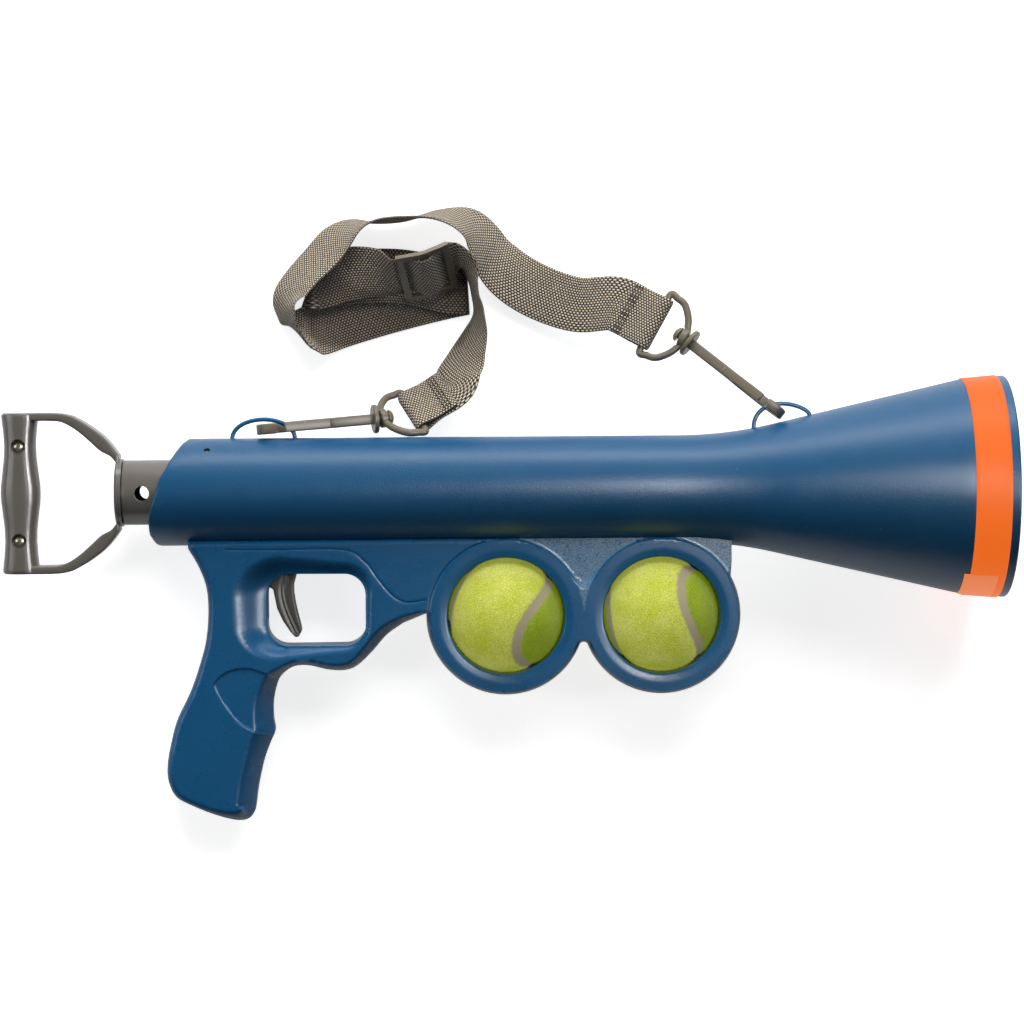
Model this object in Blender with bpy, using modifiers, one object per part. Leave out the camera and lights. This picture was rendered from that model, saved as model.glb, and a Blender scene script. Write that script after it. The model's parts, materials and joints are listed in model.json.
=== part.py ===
"""Toy dog ball thrower, lying on its side with its shoulder strap.

A blue barrel with a wide muzzle holds a spring plunger, which the grey D-handle draws back until a sear
catches its tube. The trigger in the grip lowers the sear. Two rings under the barrel carry spare tennis
balls, and a webbing strap hangs from two loops by swivelling snap hooks.

The launcher is modelled in its own frame: the barrel's axis is X with the muzzle at +X, Y points to the
strap loops and Z out of the near side. It is then laid on the ground (z = 0), on the muzzle's rim, the
barrel's rear rim and the grip's toe. The origin ends up under the middle of the whole object.
"""

import math

import bmesh
import bpy
from mathutils import Euler, Matrix, Vector

MM = 0.001

# Fits
GAP = 0.3 * MM
RUN = 0.5 * MM
OVERRUN = 1.5 * MM
MERGE = 0.001 * MM

# Barrel
BARREL_LENGTH = 478 * MM
BARREL_RADIUS = 30.5 * MM
BARREL_WALL = 2.4 * MM
FLARE_START_SHARE = 0.66736
FLARE_START = FLARE_START_SHARE * BARREL_LENGTH
FLARE_FILLET = 240 * MM
MOUTH_LENGTH = 26 * MM
MOUTH_START = BARREL_LENGTH - MOUTH_LENGTH
MOUTH_START_RADIUS = 61.2 * MM
MOUTH_RADIUS = 63.4 * MM
REAR_TOP_X = 13.5 * MM
REAR_BOTTOM_X = -8 * MM
STOP_RING_X = 300.6 * MM
STOP_RING_LENGTH = 4 * MM
STOP_RING_RADIUS = 25.6 * MM
BARREL_STEPS = 32
FILLET_STEPS = 5
LIP_STEPS = 4

# Tape round the muzzle
TAPE_INSET = 1 * MM
TAPE_START = MOUTH_START + TAPE_INSET
TAPE_WIDTH = 20 * MM
TAPE_THICKNESS = 0.5 * MM

# Sleeve in the barrel's rear, its grub screws and the tube that it guides
TUBE_RADIUS = 18.5 * MM
TUBE_WALL = 2 * MM
TUBE_REAR_X = -24.4 * MM
TUBE_HOLE_X = -12.9 * MM
TUBE_HOLE_RADIUS = 4.25 * MM
TUBE_STEPS = 24
STROKE = 130 * MM
SLEEVE_INSET = 2 * MM
SLEEVE_END_X = 105 * MM
SLEEVE_REAR_FLANGE = 26 * MM
SLEEVE_FRONT_FLANGE = 6 * MM
SLEEVE_WALL = 3 * MM
GRUB_X = 24.4 * MM
GRUB_RADIUS = 1.5 * MM
GRUB_DEPTH = 1.4 * MM
GRUB_LENGTH = 7 * MM
GRUB_ANGLE = math.radians(53)

# Plunger and main spring
HEAD_LENGTH = 14 * MM
HEAD_PLUG_LENGTH = 17 * MM
HEAD_GROOVE = 1.5 * MM
PAD_RADIUS = 24 * MM
PAD_THICKNESS = 6 * MM
PAD_ROUND = 2 * MM
SPRING_RADIUS = 23.6 * MM
SPRING_WIRE_RADIUS = 1.6 * MM
SPRING_TURNS = 8
SPRING_STEPS_PER_TURN = 9
HEAD_SCREW_RADIUS = 2 * MM
HEAD_SCREW_HEAD_RADIUS = 4 * MM
HEAD_SCREW_HEAD = 2.5 * MM
HEAD_SCREW_LENGTH = 16 * MM
HEAD_SCREW_SINK = 1.5 * MM

# Handle
HANDLE_HALF_HEIGHT = 45.7 * MM
BAR_CENTRE_X = -83.2 * MM
BAR_WIDTH = 22.4 * MM
BAR_HALF_DEPTH = 10.5 * MM
ARM_HALF_DEPTH = 9 * MM
HANDLE_BEVEL = 2.2 * MM
ARM_BEVEL = 1 * MM
FLANGE_RADIUS = 19.3 * MM
FLANGE_LENGTH = 3.8 * MM
TONGUE_HALF_WIDTH = 5 * MM
TONGUE_THICKNESS = 3.4 * MM
TONGUE_LENGTH = 30 * MM
RIVET_RADIUS = 1.6 * MM
RIVET_INSET = 6 * MM
HANDLE_SCREW_Y = 26.8 * MM
HANDLE_SCREW_RADIUS = 1.5 * MM
HANDLE_SCREW_HEAD_RADIUS = 2.6 * MM
HANDLE_SCREW_HEAD = 1.8 * MM
HANDLE_SCREW_LENGTH = 14 * MM
HANDLE_RECESS_RADIUS = 4.2 * MM
HANDLE_RECESS_DEPTH = 2.5 * MM
COVER_HALF_SHARE = 0.9
SIDE_NAMES = {1: "upper", -1: "lower"}
BAR_WIDTH_SHARES = [(1, 0.94), (0.85, 0.88), (0.6, 0.8), (0.3, 0.88), (0, 1)]
ARM_OUTER_SHARES = [
    (-0.3, 1), (0.18, 1), (0.37, 0.975), (0.47, 0.935), (0.63, 0.84), (0.79, 0.72), (0.9, 0.605), (1, 0.47)]
ARM_INNER_SHARES = [
    (1, 0.33), (0.9, 0.455), (0.78, 0.52), (0.64, 0.645), (0.5, 0.765), (0.34, 0.865), (0.18, 0.9), (-0.3, 0.9)]

# Lower body: plate, grip, trigger guard and ball rings
HOUSING_REAR_X = 12.5 * MM
HOUSING_FRONT_X = 321 * MM
PLATE_TOP_Y = -26.8 * MM
HALF_DEPTH = 17 * MM
HOUSING_WALL = 2.4 * MM
HOUSING_BEVEL = 2.4 * MM
GRIP_SPAN = 60 * MM
GRIP_DROP = 160 * MM
GRIP_SHARES = [
    (0, 0.03), (0.1, 0.095), (0.17, 0.168), (0.187, 0.25), (0.17, 0.338), (0.125, 0.414), (0.02, 0.53),
    (-0.115, 0.636), (-0.18, 0.723), (-0.215, 0.8), (-0.205, 0.86), (-0.13, 0.915), (0.04, 0.95),
    (0.235, 0.98), (0.42, 1), (0.53, 1), (0.59, 0.98), (0.61, 0.955), (0.637, 0.882), (0.69, 0.794),
    (0.747, 0.734), (0.8, 0.685), (0.785, 0.638), (0.787, 0.576), (0.83, 0.51), (0.9, 0.474)]
GUARD_X = 57 * MM
GUARD_LENGTH = 56 * MM
GUARD_TOP_Y = -46.7 * MM
GUARD_HEIGHT = 40.8 * MM
GUARD_CORNER = 12 * MM
GUARD_STEPS = 5
UNDERSIDE_SHARES = [
    (0.28, 1.282), (0.425, 1.277), (0.616, 1.336), (0.786, 1.346), (0.911, 1.282), (1.06, 1.093),
    (1.21, 0.86), (1.38, 0.694)]
RING_X = 192.6 * MM
RING_PITCH = 88.6 * MM
RING_Y = -71.3 * MM
RING_RADIUS = 45.3 * MM
RING_CUSP_FILLET = 2.5 * MM
RING_STEPS = 15
BORE_STEPS = 28
PANEL_DEPTH = 2.5 * MM
PANEL_MARGIN = 7 * MM
BALL_RADIUS = 33 * MM
BALL_SEAT_DEPTH = 9 * MM
BALL_SEAT_RADIUS = 28.7 * MM
BALL_SEGMENTS = 22
BALL_RINGS = 11

# Lugs under the barrel and screws of the lower body
LUG_SHARES = (0.432, 0.728, 0.951)
LUG_LENGTH = 11 * MM
LUG_HALF_DEPTH = 4 * MM
LUG_DROP = 13 * MM
LUG_SCREW_DROP = 8 * MM
BOSS_RADIUS = 4 * MM
SCREW_RADIUS = 1.5 * MM
SCREW_HEAD_RADIUS = 2.8 * MM
SCREW_HEAD = 2 * MM
SCREW_SINK = 6 * MM
SCREW_LENGTH = 19 * MM
SCREW_SIDES = 8
PLAIN_SCREW_SHARES = [(0.04, 0.095), (0.037, 0.885), (0.078, 0.51), (0.368, 0.232)]

# Trigger and sear
TRIGGER_X = 70 * MM
TRIGGER_Y = -39.5 * MM
TRIGGER_DROP = 45 * MM
TRIGGER_HALF_WIDTH = 5 * MM
TRIGGER_SWING = math.radians(12)
TRIGGER_SHARES = [
    (0.07, -0.19), (0.04, -0.3), (0.04, -0.4), (0.06, -0.53), (0.09, -0.67), (0.127, -0.81),
    (0.138, -0.885), (0.1, -0.96), (0.06, -0.97), (0, -0.91), (-0.1, -0.76), (-0.173, -0.6),
    (-0.22, -0.36), (-0.29, -0.32), (-0.21, -0.18), (-0.25, -0.12), (-0.27, -0.06), (-0.2, -0.03),
    (-0.11, 0.01), (-0.08, 0.08), (0, 0.105), (0.1, 0.055), (0.11, -0.055)]
SEAR_X = 47 * MM
SEAR_Y = -41 * MM
SEAR_RATIO = 0.9
SEAR_NOSE_BACK = 18 * MM
SEAR_NOSE_FRONT = 12 * MM
SEAR_TAIL = 13.5 * MM
SEAR_HUB = 4.2 * MM
SEAR_ARM = 2.7 * MM
SEAR_HALF_WIDTH = 3 * MM
PIN_RADIUS = 1.5 * MM
PIN_BOSS_RADIUS = 3.8 * MM
PIN_HALF_LENGTH = 12.5 * MM
SMALL_SPRING_WIRE = 0.4 * MM
SMALL_SPRING_RADIUS = 2.5 * MM
SMALL_SPRING_TURNS = 2
SMALL_SPRING_LEG = 7 * MM
SMALL_SPRING_ROOM = 3.4 * MM

# Strap loops on the barrel: middle, span and rise over the surface
LOOP_WIRE = 1.25 * MM
REAR_LOOP_X = 55.3 * MM
REAR_LOOP_SPAN = 35.6 * MM
REAR_LOOP_RISE = 11.9 * MM
FRONT_LOOP_X = 351 * MM
FRONT_LOOP_SPAN = 32 * MM
FRONT_LOOP_RISE = 11.5 * MM
LOOP_STEPS = 10
REAR_HOOK_SHARE = 0.8
FRONT_HOOK_SHARE = 0.365

# Snap hooks: place of the loop's wire in the eye, and which way the shank points from the swivel
HOOK_LENGTH = 73.5 * MM
HOOK_BAR = 5 * MM
HOOK_HALF_WIDTH = 3 * MM
HOOK_BEVEL = 0.8 * MM
HOOK_PATH_SHARES = [
    (0.06, 0), (0.44, 0), (0.6, -0.07), (0.8, -0.1), (0.92, -0.07), (0.965, 0.01), (0.94, 0.09), (0.86, 0.135)]
GATE_THICKNESS = 2.2 * MM
GATE_HALF_WIDTH = 2.6 * MM
GATE_PATH_SHARES = [(0.43, 0.09), (0.8, 0.155)]
GATE_LUG_SHARES = [(0.4, 0), (0.425, 0.066)]
GATE_LUG_WIDTH = 3 * MM
GATE_LUG_HALF_WIDTH = 2.6 * MM
REAR_HOOK_WAY = (-0.975, -0.08, 0.2)
REAR_HOOK_WIRE_AT = 55 * MM
FRONT_HOOK_WAY = (0.755, -0.61, 0.235)
FRONT_HOOK_WIRE_AT = 64 * MM
FRONT_HOOK_ROLL = 0
HOOK_WIRE_DEPTH = 2 * MM
COLLAR_RADIUS = 8.3 * MM
COLLAR_THICKNESS = 2.6 * MM
HOOK_PIN_RADIUS = 2.2 * MM
HOOK_PIN_HEAD_RADIUS = 4.6 * MM
HOOK_PIN_HEAD = 3 * MM
RING_PLAY = 1.3 * MM
RING_BORE_RADIUS = 3 * MM
RING_BASE_RADIUS = 5.4 * MM
RING_BASE_HALF = 2 * MM
RING_BAR = 2.1 * MM
RING_WIDTH = 37.5 * MM
RING_REACH = 19 * MM
RING_PATH_SHARES = [
    (0, 0.12), (0.16, 0.3), (0.45, 0.46), (0.75, 0.5), (1, 0.5), (1, 0.17), (1, -0.17), (1, -0.5),
    (0.75, -0.5), (0.45, -0.46), (0.16, -0.3), (0, -0.12)]
REAR_RING_ROLL = math.radians(53)
FRONT_RING_ROLL = 0
REAR_RING_LEAN = math.radians(10)
FRONT_RING_LEAN = math.radians(10)

# Strap: webbing, and its route over the ground from the barrel's rear end, in millimetres. Each place
# has the middle of the webbing and the way across it, towards its inner edge.
STRAP_WIDTH = 32 * MM
STRAP_THICKNESS = 1.6 * MM
STRAP_STEP = 5 * MM
STRAP_COLUMNS = 4
STRAP_FOLD = 24 * MM
STRAP_TURN_STEPS = 6
LONG_ROUTE = [
    (238, 109, 15, -0.1, -0.99, 0), (217.7, 116.2, 9, -0.2, -0.98, 0),
    (201.8, 125.5, 7.5, -0.28, -0.95, 0.14), (191.2, 135.7, 8.5, -0.38, -0.87, 0.31),
    (184.7, 146, 11.5, -0.45, -0.69, 0.57), (177.6, 154.3, 14, -0.44, -0.52, 0.73),
    (169, 158.6, 16, -0.32, -0.44, 0.84), (156, 160.6, 17, -0.2, -0.28, 0.94),
    (137, 158.5, 17.3, -0.05, -0.05, 1), (120, 157, 17.2, 0.1, -0.06, 0.99), (109, 154.6, 16.6, 0.3, -0.24, 0.92),
    (99, 148, 15.5, 0.52, -0.3, 0.8), (89, 137, 14.8, 0.6, -0.25, 0.76), (78, 125.4, 14.8, 0.61, -0.16, 0.78),
    (70.6, 115, 15.2, 0.55, -0.13, 0.82), (68.6, 106.5, 16.6, 0.31, -0.1, 0.95), (71.4, 99.2, 17.2, 0.25, 0.05, 0.97),
    (76.5, 94.8, 16.6, 0.1, -0.1, 0.99), (83, 92.8, 14.6, 0.05, -0.5, 0.86), (90, 95.5, 9, 0.08, -0.86, 0.5),
    (98, 100, 3.9, 0.14, -0.97, 0.17), (106, 103.4, 1.6, 0.17, -0.98, 0.02),
    (123.8, 108.2, 1.2, 0.2, -0.98, 0), (147.8, 114.6, 1.2, 0.24, -0.97, 0), (160, 118, 1.2, 0.24, -0.97, 0),
    (164, 119, 1.2, 0.24, -0.97, 0), (165.5, 119.35, 1.75, 0.24, -0.97, 0), (166.1, 119.5, 3.2, 0.24, -0.97, 0),
    (165.5, 119.35, 4.65, 0.24, -0.97, 0), (164, 119, 5.2, 0.24, -0.97, 0),
    (158, 118.2, 5, 0.18, -0.98, 0), (135, 121.5, 3.8, -0.06, -1, 0), (108, 125.6, 4.2, -0.12, -0.99, 0),
    (101, 126.5, 4.6, -0.12, -0.99, 0), (99.2, 126.8, 5.3, -0.12, -0.99, 0), (98.4, 127, 7, -0.12, -0.99, -0.02),
    (99.2, 126.9, 8.7, -0.12, -0.99, -0.04), (101, 126.7, 9.5, -0.12, -0.99, -0.08),
    (110, 127.4, 12.8, -0.06, -0.93, -0.34), (122, 127, 18, 0.02, -0.79, -0.6)]
TAIL_ROUTE = [
    (168.5, 133.3, 25.6, 0.1, -0.52, -0.85), (172.2, 130.5, 24.5, 0.08, -0.42, -0.9),
    (175.2, 124.5, 22, 0.04, -0.25, -0.97), (178, 114.5, 18.8, 0, -0.05, -1), (180, 104.5, 17.5, -0.1, -0.05, -0.99),
    (177.5, 92, 17.2, -0.38, 0.1, -0.92), (172, 78, 18.6, -0.5, 0.34, -0.8), (167.5, 68, 22.5, -0.46, 0.5, -0.74)]

# Slider: a square frame with three bars, bent at the middle one, standing on the webbing that it holds
SLIDER_MIDDLE = (149.5, 127, 25)
SLIDER_FLOW = (0.93, 0.27, 0.06)
SLIDER_BARS = (0.1, -0.55, -0.83)
SLIDER_LENGTH = 31 * MM
SLIDER_WIDTH = 40.4 * MM
SLIDER_BAR = 3.8 * MM
SLIDER_THICKNESS = 2.6 * MM
SLIDER_RISE = 2 * MM
SLIDER_BEVEL = 0.5 * MM
SLIDER_FLAT_SHARE = 0.22
SLIDER_CLIMB_SHARE = 0.5
SLIDER_CLEARANCE = 0.6 * MM

# Colours: sRGB, roughness, metallic
BLUE = ((31, 79, 124), 0.45, 0)
ORANGE = ((247, 118, 43), 0.5, 0)
GREY = ((102, 98, 91), 0.45, 0)
DARK_GREY = ((85, 82, 76), 0.45, 0)
TAUPE = ((125, 116, 99), 0.4, 0)
WEBBING = ((140, 128, 112), 0.9, 0)
FELT = ((204, 218, 60), 0.95, 0)
STEEL = ((180, 182, 184), 0.3, 1)
BLACK_RUBBER = ((30, 30, 30), 0.8, 0)
WHITE_PLASTIC = ((210, 208, 200), 0.4, 0)

LEVER_AXIS = Vector((0, 0, 1))
LAY_ROUNDS = 40


def clear_scene():
    """Remove the objects that Blender starts with."""
    for leftover in list(bpy.data.objects):
        bpy.data.objects.remove(leftover, do_unlink=True)


def make_collection(name):
    """Add a collection to the scene and return it."""
    collection = bpy.data.collections.new(name)
    bpy.context.scene.collection.children.link(collection)
    return collection


def linear(channel):
    """Turn an sRGB channel of 0 to 255 into a linear one."""
    value = channel / 255
    return value / 12.92 if value <= 0.04045 else ((value + 0.055) / 1.055) ** 2.4


def make_material(name, look):
    """Give a plain Principled material of a colour, roughness and metallic value."""
    colour, roughness, metallic = look
    material = bpy.data.materials.new(name)
    material.use_nodes = True
    shader = material.node_tree.nodes["Principled BSDF"]
    shader.inputs["Base Color"].default_value = (*[linear(c) for c in colour], 1)
    shader.inputs["Roughness"].default_value = roughness
    shader.inputs["Metallic"].default_value = metallic
    material.diffuse_color = shader.inputs["Base Color"].default_value
    return material


def as_tool(mesh, name="tool"):
    """Wrap a mesh as a hidden cutter or join tool."""
    tool = bpy.data.objects.new(name, mesh)
    TOOLS.objects.link(tool)
    tool.hide_render = True
    tool.display_type = "WIRE"
    return tool


def evaluated_mesh(scene_object):
    """Read an object's mesh with its modifiers and its own transform applied, welded and facing out."""
    bpy.context.view_layer.update()
    graph = bpy.context.evaluated_depsgraph_get()
    mesh = bpy.data.meshes.new_from_object(scene_object.evaluated_get(graph))
    mesh.transform(scene_object.matrix_world)
    shape = bmesh.new()
    shape.from_mesh(mesh)
    bmesh.ops.remove_doubles(shape, verts=shape.verts, dist=MERGE)
    bmesh.ops.recalc_face_normals(shape, faces=shape.faces)
    shape.to_mesh(mesh)
    shape.free()
    return mesh


def settle(scene_object):
    """Turn a helper object into a plain mesh and remove the helper."""
    mesh = evaluated_mesh(scene_object)
    data = scene_object.data
    bpy.data.objects.remove(scene_object, do_unlink=True)
    if isinstance(data, bpy.types.Curve):
        bpy.data.curves.remove(data)
    return mesh


def place(mesh, location=(0, 0, 0), rotation=(0, 0, 0)):
    """Move a mesh's points: turn them, then shift them."""
    mesh.transform(Matrix.Translation(location) @ Euler(rotation).to_matrix().to_4x4())
    return mesh


def box(low, high):
    """A box between two corners."""
    low, high = Vector(low), Vector(high)
    shape = bmesh.new()
    bmesh.ops.create_cube(shape, size=1)
    size = high - low
    bmesh.ops.scale(shape, vec=size, verts=shape.verts)
    bmesh.ops.translate(shape, vec=(low + high) / 2, verts=shape.verts)
    mesh = bpy.data.meshes.new("box")
    shape.to_mesh(mesh)
    shape.free()
    return mesh


def rod(radius, start, end, sides=SCREW_SIDES):
    """A cylinder between two points."""
    start, end = Vector(start), Vector(end)
    shape = bmesh.new()
    bmesh.ops.create_cone(
        shape, cap_ends=True, segments=sides, radius1=radius, radius2=radius, depth=(end - start).length)
    turn = (end - start).to_track_quat("Z", "Y").to_matrix().to_4x4()
    bmesh.ops.transform(shape, matrix=Matrix.Translation((start + end) / 2) @ turn, verts=shape.verts)
    mesh = bpy.data.meshes.new("rod")
    shape.to_mesh(mesh)
    shape.free()
    return mesh


def turned(profile, steps, axis="X", closed=True):
    """Turn a profile of (place along the axis, radius) points with a Screw modifier."""
    mesh = bpy.data.meshes.new("profile")
    if axis == "X":
        points = [(along, radius, 0) for along, radius in profile]
    else:
        points = [(radius, 0, along) for along, radius in profile]
    count = len(points)
    edges = [(i, i + 1) for i in range(count - 1)]
    if closed:
        edges.append((count - 1, 0))
    mesh.from_pydata(points, edges, [])
    helper = as_tool(mesh, "turned")
    screw = helper.modifiers.new("Screw", "SCREW")
    screw.axis = axis
    screw.steps = steps
    screw.render_steps = steps
    screw.use_merge_vertices = True
    screw.merge_threshold = MERGE
    return settle(helper)


def flat_curve(outlines, half_depth, offset=0, bevel=0):
    """Extrude closed outlines of (x, y) points both ways from z = 0."""
    curve = bpy.data.curves.new("outline", "CURVE")
    curve.dimensions = "2D"
    curve.fill_mode = "BOTH"
    curve.extrude = half_depth - bevel
    curve.bevel_depth = bevel
    curve.bevel_resolution = 0
    curve.offset = offset - bevel
    for outline in outlines:
        spline = curve.splines.new("POLY")
        spline.points.add(len(outline) - 1)
        for point, (x, y) in zip(spline.points, outline):
            point.co = (x, y, 0, 1)
        spline.use_cyclic_u = True
    helper = bpy.data.objects.new("outline", curve)
    TOOLS.objects.link(helper)
    return settle(helper)


def plate(outline, low_z, high_z, offset=0, bevel=0):
    """A flat solid of one outline between two heights."""
    return place(flat_curve([outline], (high_z - low_z) / 2, offset, bevel), (0, 0, (low_z + high_z) / 2))


def wire(points, radius, closed=False, resolution=1):
    """A round wire through points, as a bevelled curve with filled caps."""
    curve = bpy.data.curves.new("wire", "CURVE")
    curve.dimensions = "3D"
    curve.bevel_depth = radius
    curve.bevel_resolution = resolution
    curve.use_fill_caps = not closed
    spline = curve.splines.new("POLY")
    spline.points.add(len(points) - 1)
    for point, place_at in zip(spline.points, points):
        point.co = (*place_at, 1)
    spline.use_cyclic_u = closed
    helper = bpy.data.objects.new("wire", curve)
    TOOLS.objects.link(helper)
    return settle(helper)


def combine(mesh, operation, others):
    """Apply Boolean modifiers to a mesh, one for each other mesh, and return the result."""
    helper = as_tool(mesh, "target")
    tools = [as_tool(other) for other in others]
    for tool in tools:
        boolean = helper.modifiers.new("Boolean", "BOOLEAN")
        boolean.operation = operation
        boolean.solver = "EXACT"
        boolean.object = tool
    result = settle(helper)
    for tool in tools:
        bpy.data.objects.remove(tool, do_unlink=True)
    return result


def cut(mesh, *others):
    """Take other meshes away from a mesh."""
    return combine(mesh, "DIFFERENCE", others)


def join(mesh, *others):
    """Unite other meshes with a mesh."""
    return combine(mesh, "UNION", others)


def rounded(mesh, width, segments=2, angle=math.radians(40)):
    """Round a mesh's sharp edges with a Bevel modifier."""
    helper = as_tool(mesh, "rounded")
    bevel = helper.modifiers.new("Bevel", "BEVEL")
    bevel.width = width
    bevel.segments = segments
    bevel.limit_method = "ANGLE"
    bevel.angle_limit = angle
    return settle(helper)


def node(name, mesh, look, parent=None, pivot=(0, 0, 0)):
    """Add a finished piece, whose mesh is in its parent's frame, with its origin at the pivot."""
    pivot = Vector(pivot)
    mesh.transform(Matrix.Translation(-pivot))
    mesh.name = name
    piece = bpy.data.objects.new(name, mesh)
    PARTS.objects.link(piece)
    piece.location = pivot
    piece.parent = parent
    mesh.materials.clear()
    mesh.materials.append(make_material(name, look))
    mesh.shade_smooth()
    mesh.set_sharp_from_angle(angle=math.radians(35))
    return piece


def empty(name, location=(0, 0, 0), rotation=(0, 0, 0), parent=None):
    """Add an empty, which carries pieces and isn't one."""
    carrier = bpy.data.objects.new(name, None)
    PARTS.objects.link(carrier)
    carrier.location = location
    carrier.rotation_euler = rotation
    carrier.parent = parent
    return carrier


def arc(centre, radius, start, end, steps):
    """Points along an arc, angles in radians, both ends included."""
    return [
        (
            centre[0] + radius * math.cos(start + (end - start) * i / steps),
            centre[1] + radius * math.sin(start + (end - start) * i / steps),
        )
        for i in range(steps + 1)
    ]


def stroke(path, width):
    """The closed outline of a band of one width along a path of (x, y) points."""
    left, right = [], []
    for i, (x, y) in enumerate(path):
        before = Vector(path[max(i - 1, 0)])
        after = Vector(path[min(i + 1, len(path) - 1)])
        along = (after - before).normalized()
        side = Vector((-along.y, along.x)) * width / 2
        left.append((x + side.x, y + side.y))
        right.append((x - side.x, y - side.y))
    return left + right[::-1]


def smooth_path(points, steps):
    """Points on a Catmull-Rom curve through a list of vectors."""
    points = [Vector(p) for p in points]
    ends = [2 * points[0] - points[1], *points, 2 * points[-1] - points[-2]]
    result = []
    for i in range(len(points) - 1):
        a, b, c, d = ends[i:i + 4]
        for step in range(steps):
            t = step / steps
            result.append(
                ((2 * b) + (c - a) * t + (2 * a - 5 * b + 4 * c - d) * t ** 2
                 + (3 * b - a - 3 * c + d) * t ** 3) / 2)
    return [*result, points[-1]]


def helix(radius, start, end, turns, steps_per_turn):
    """Points along a coil about the X axis."""
    count = turns * steps_per_turn
    return [
        (
            start + (end - start) * i / count,
            radius * math.cos(math.tau * i / steps_per_turn),
            radius * math.sin(math.tau * i / steps_per_turn),
        )
        for i in range(count + 1)
    ]


def flare_slope():
    """Rise over run of the cone between the barrel's tube and its mouth."""
    return (MOUTH_START_RADIUS - BARREL_RADIUS) / (MOUTH_START - FLARE_START)


def barrel_side(offset):
    """The barrel's side from rear to mouth, as (x, radius), moved out by an offset."""
    angle = math.atan(flare_slope())
    tangent = FLARE_FILLET * math.tan(angle / 2)
    centre_y = BARREL_RADIUS + FLARE_FILLET
    side = [(REAR_BOTTOM_X - OVERRUN, BARREL_RADIUS + offset)]
    for i in range(FILLET_STEPS + 1):
        turn = angle * i / FILLET_STEPS
        reach = FLARE_FILLET - offset
        side.append((FLARE_START - tangent + reach * math.sin(turn), centre_y - reach * math.cos(turn)))
    side.append((MOUTH_START, MOUTH_START_RADIUS + offset))
    side.append((BARREL_LENGTH, MOUTH_RADIUS + offset))
    return side


def barrel_radius_at(x):
    """The barrel's outer radius at a place along its axis."""
    side = barrel_side(0)
    for (x0, r0), (x1, r1) in zip(side, side[1:]):
        if x0 <= x <= x1:
            return r0 + (r1 - r0) * (x - x0) / (x1 - x0)
    return side[-1][1]


def bore_radius():
    """The radius inside the barrel's straight part."""
    return BARREL_RADIUS - BARREL_WALL


def lug_places():
    """The lugs' places along the barrel."""
    return [HOUSING_REAR_X + share * (HOUSING_FRONT_X - HOUSING_REAR_X) for share in LUG_SHARES]


def lug_screw_y(x):
    """How low the screw through a lug sits."""
    return -barrel_radius_at(x) - LUG_SCREW_DROP


def sear_slot():
    """Where the sear's nose moves: rear end, front end and half width."""
    swing = TRIGGER_SWING * SEAR_RATIO
    height = SEAR_Y + TUBE_RADIUS
    back = SEAR_NOSE_BACK * math.cos(swing) - height * math.sin(swing)
    return SEAR_X - back - RUN, SEAR_X - SEAR_NOSE_FRONT + RUN, SEAR_HALF_WIDTH + RUN


def loop_place(middle, span, rise, share):
    """A place on a strap loop's arch, at a share of its way from the rear foot to the front one."""
    rear_knee = barrel_radius_at(middle - span / 2)
    front_knee = barrel_radius_at(middle + span / 2)
    top = barrel_radius_at(middle) + rise - LOOP_WIRE
    knee = rear_knee + (front_knee - rear_knee) * share
    turn = math.pi * share
    return middle - span / 2 * math.cos(turn), knee + (top - knee) * math.sin(turn), 0


def loop_points(middle, span, rise):
    """The wire of a strap loop, from inside the barrel's wall up, over and down again."""
    rear, front = middle - span / 2, middle + span / 2
    rear_foot = barrel_radius_at(rear) - BARREL_WALL + GAP
    front_foot = barrel_radius_at(front) - BARREL_WALL + GAP
    arch = [loop_place(middle, span, rise, i / LOOP_STEPS) for i in range(LOOP_STEPS + 1)]
    return [(rear, rear_foot, 0), *arch, (front, front_foot, 0)]


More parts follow.
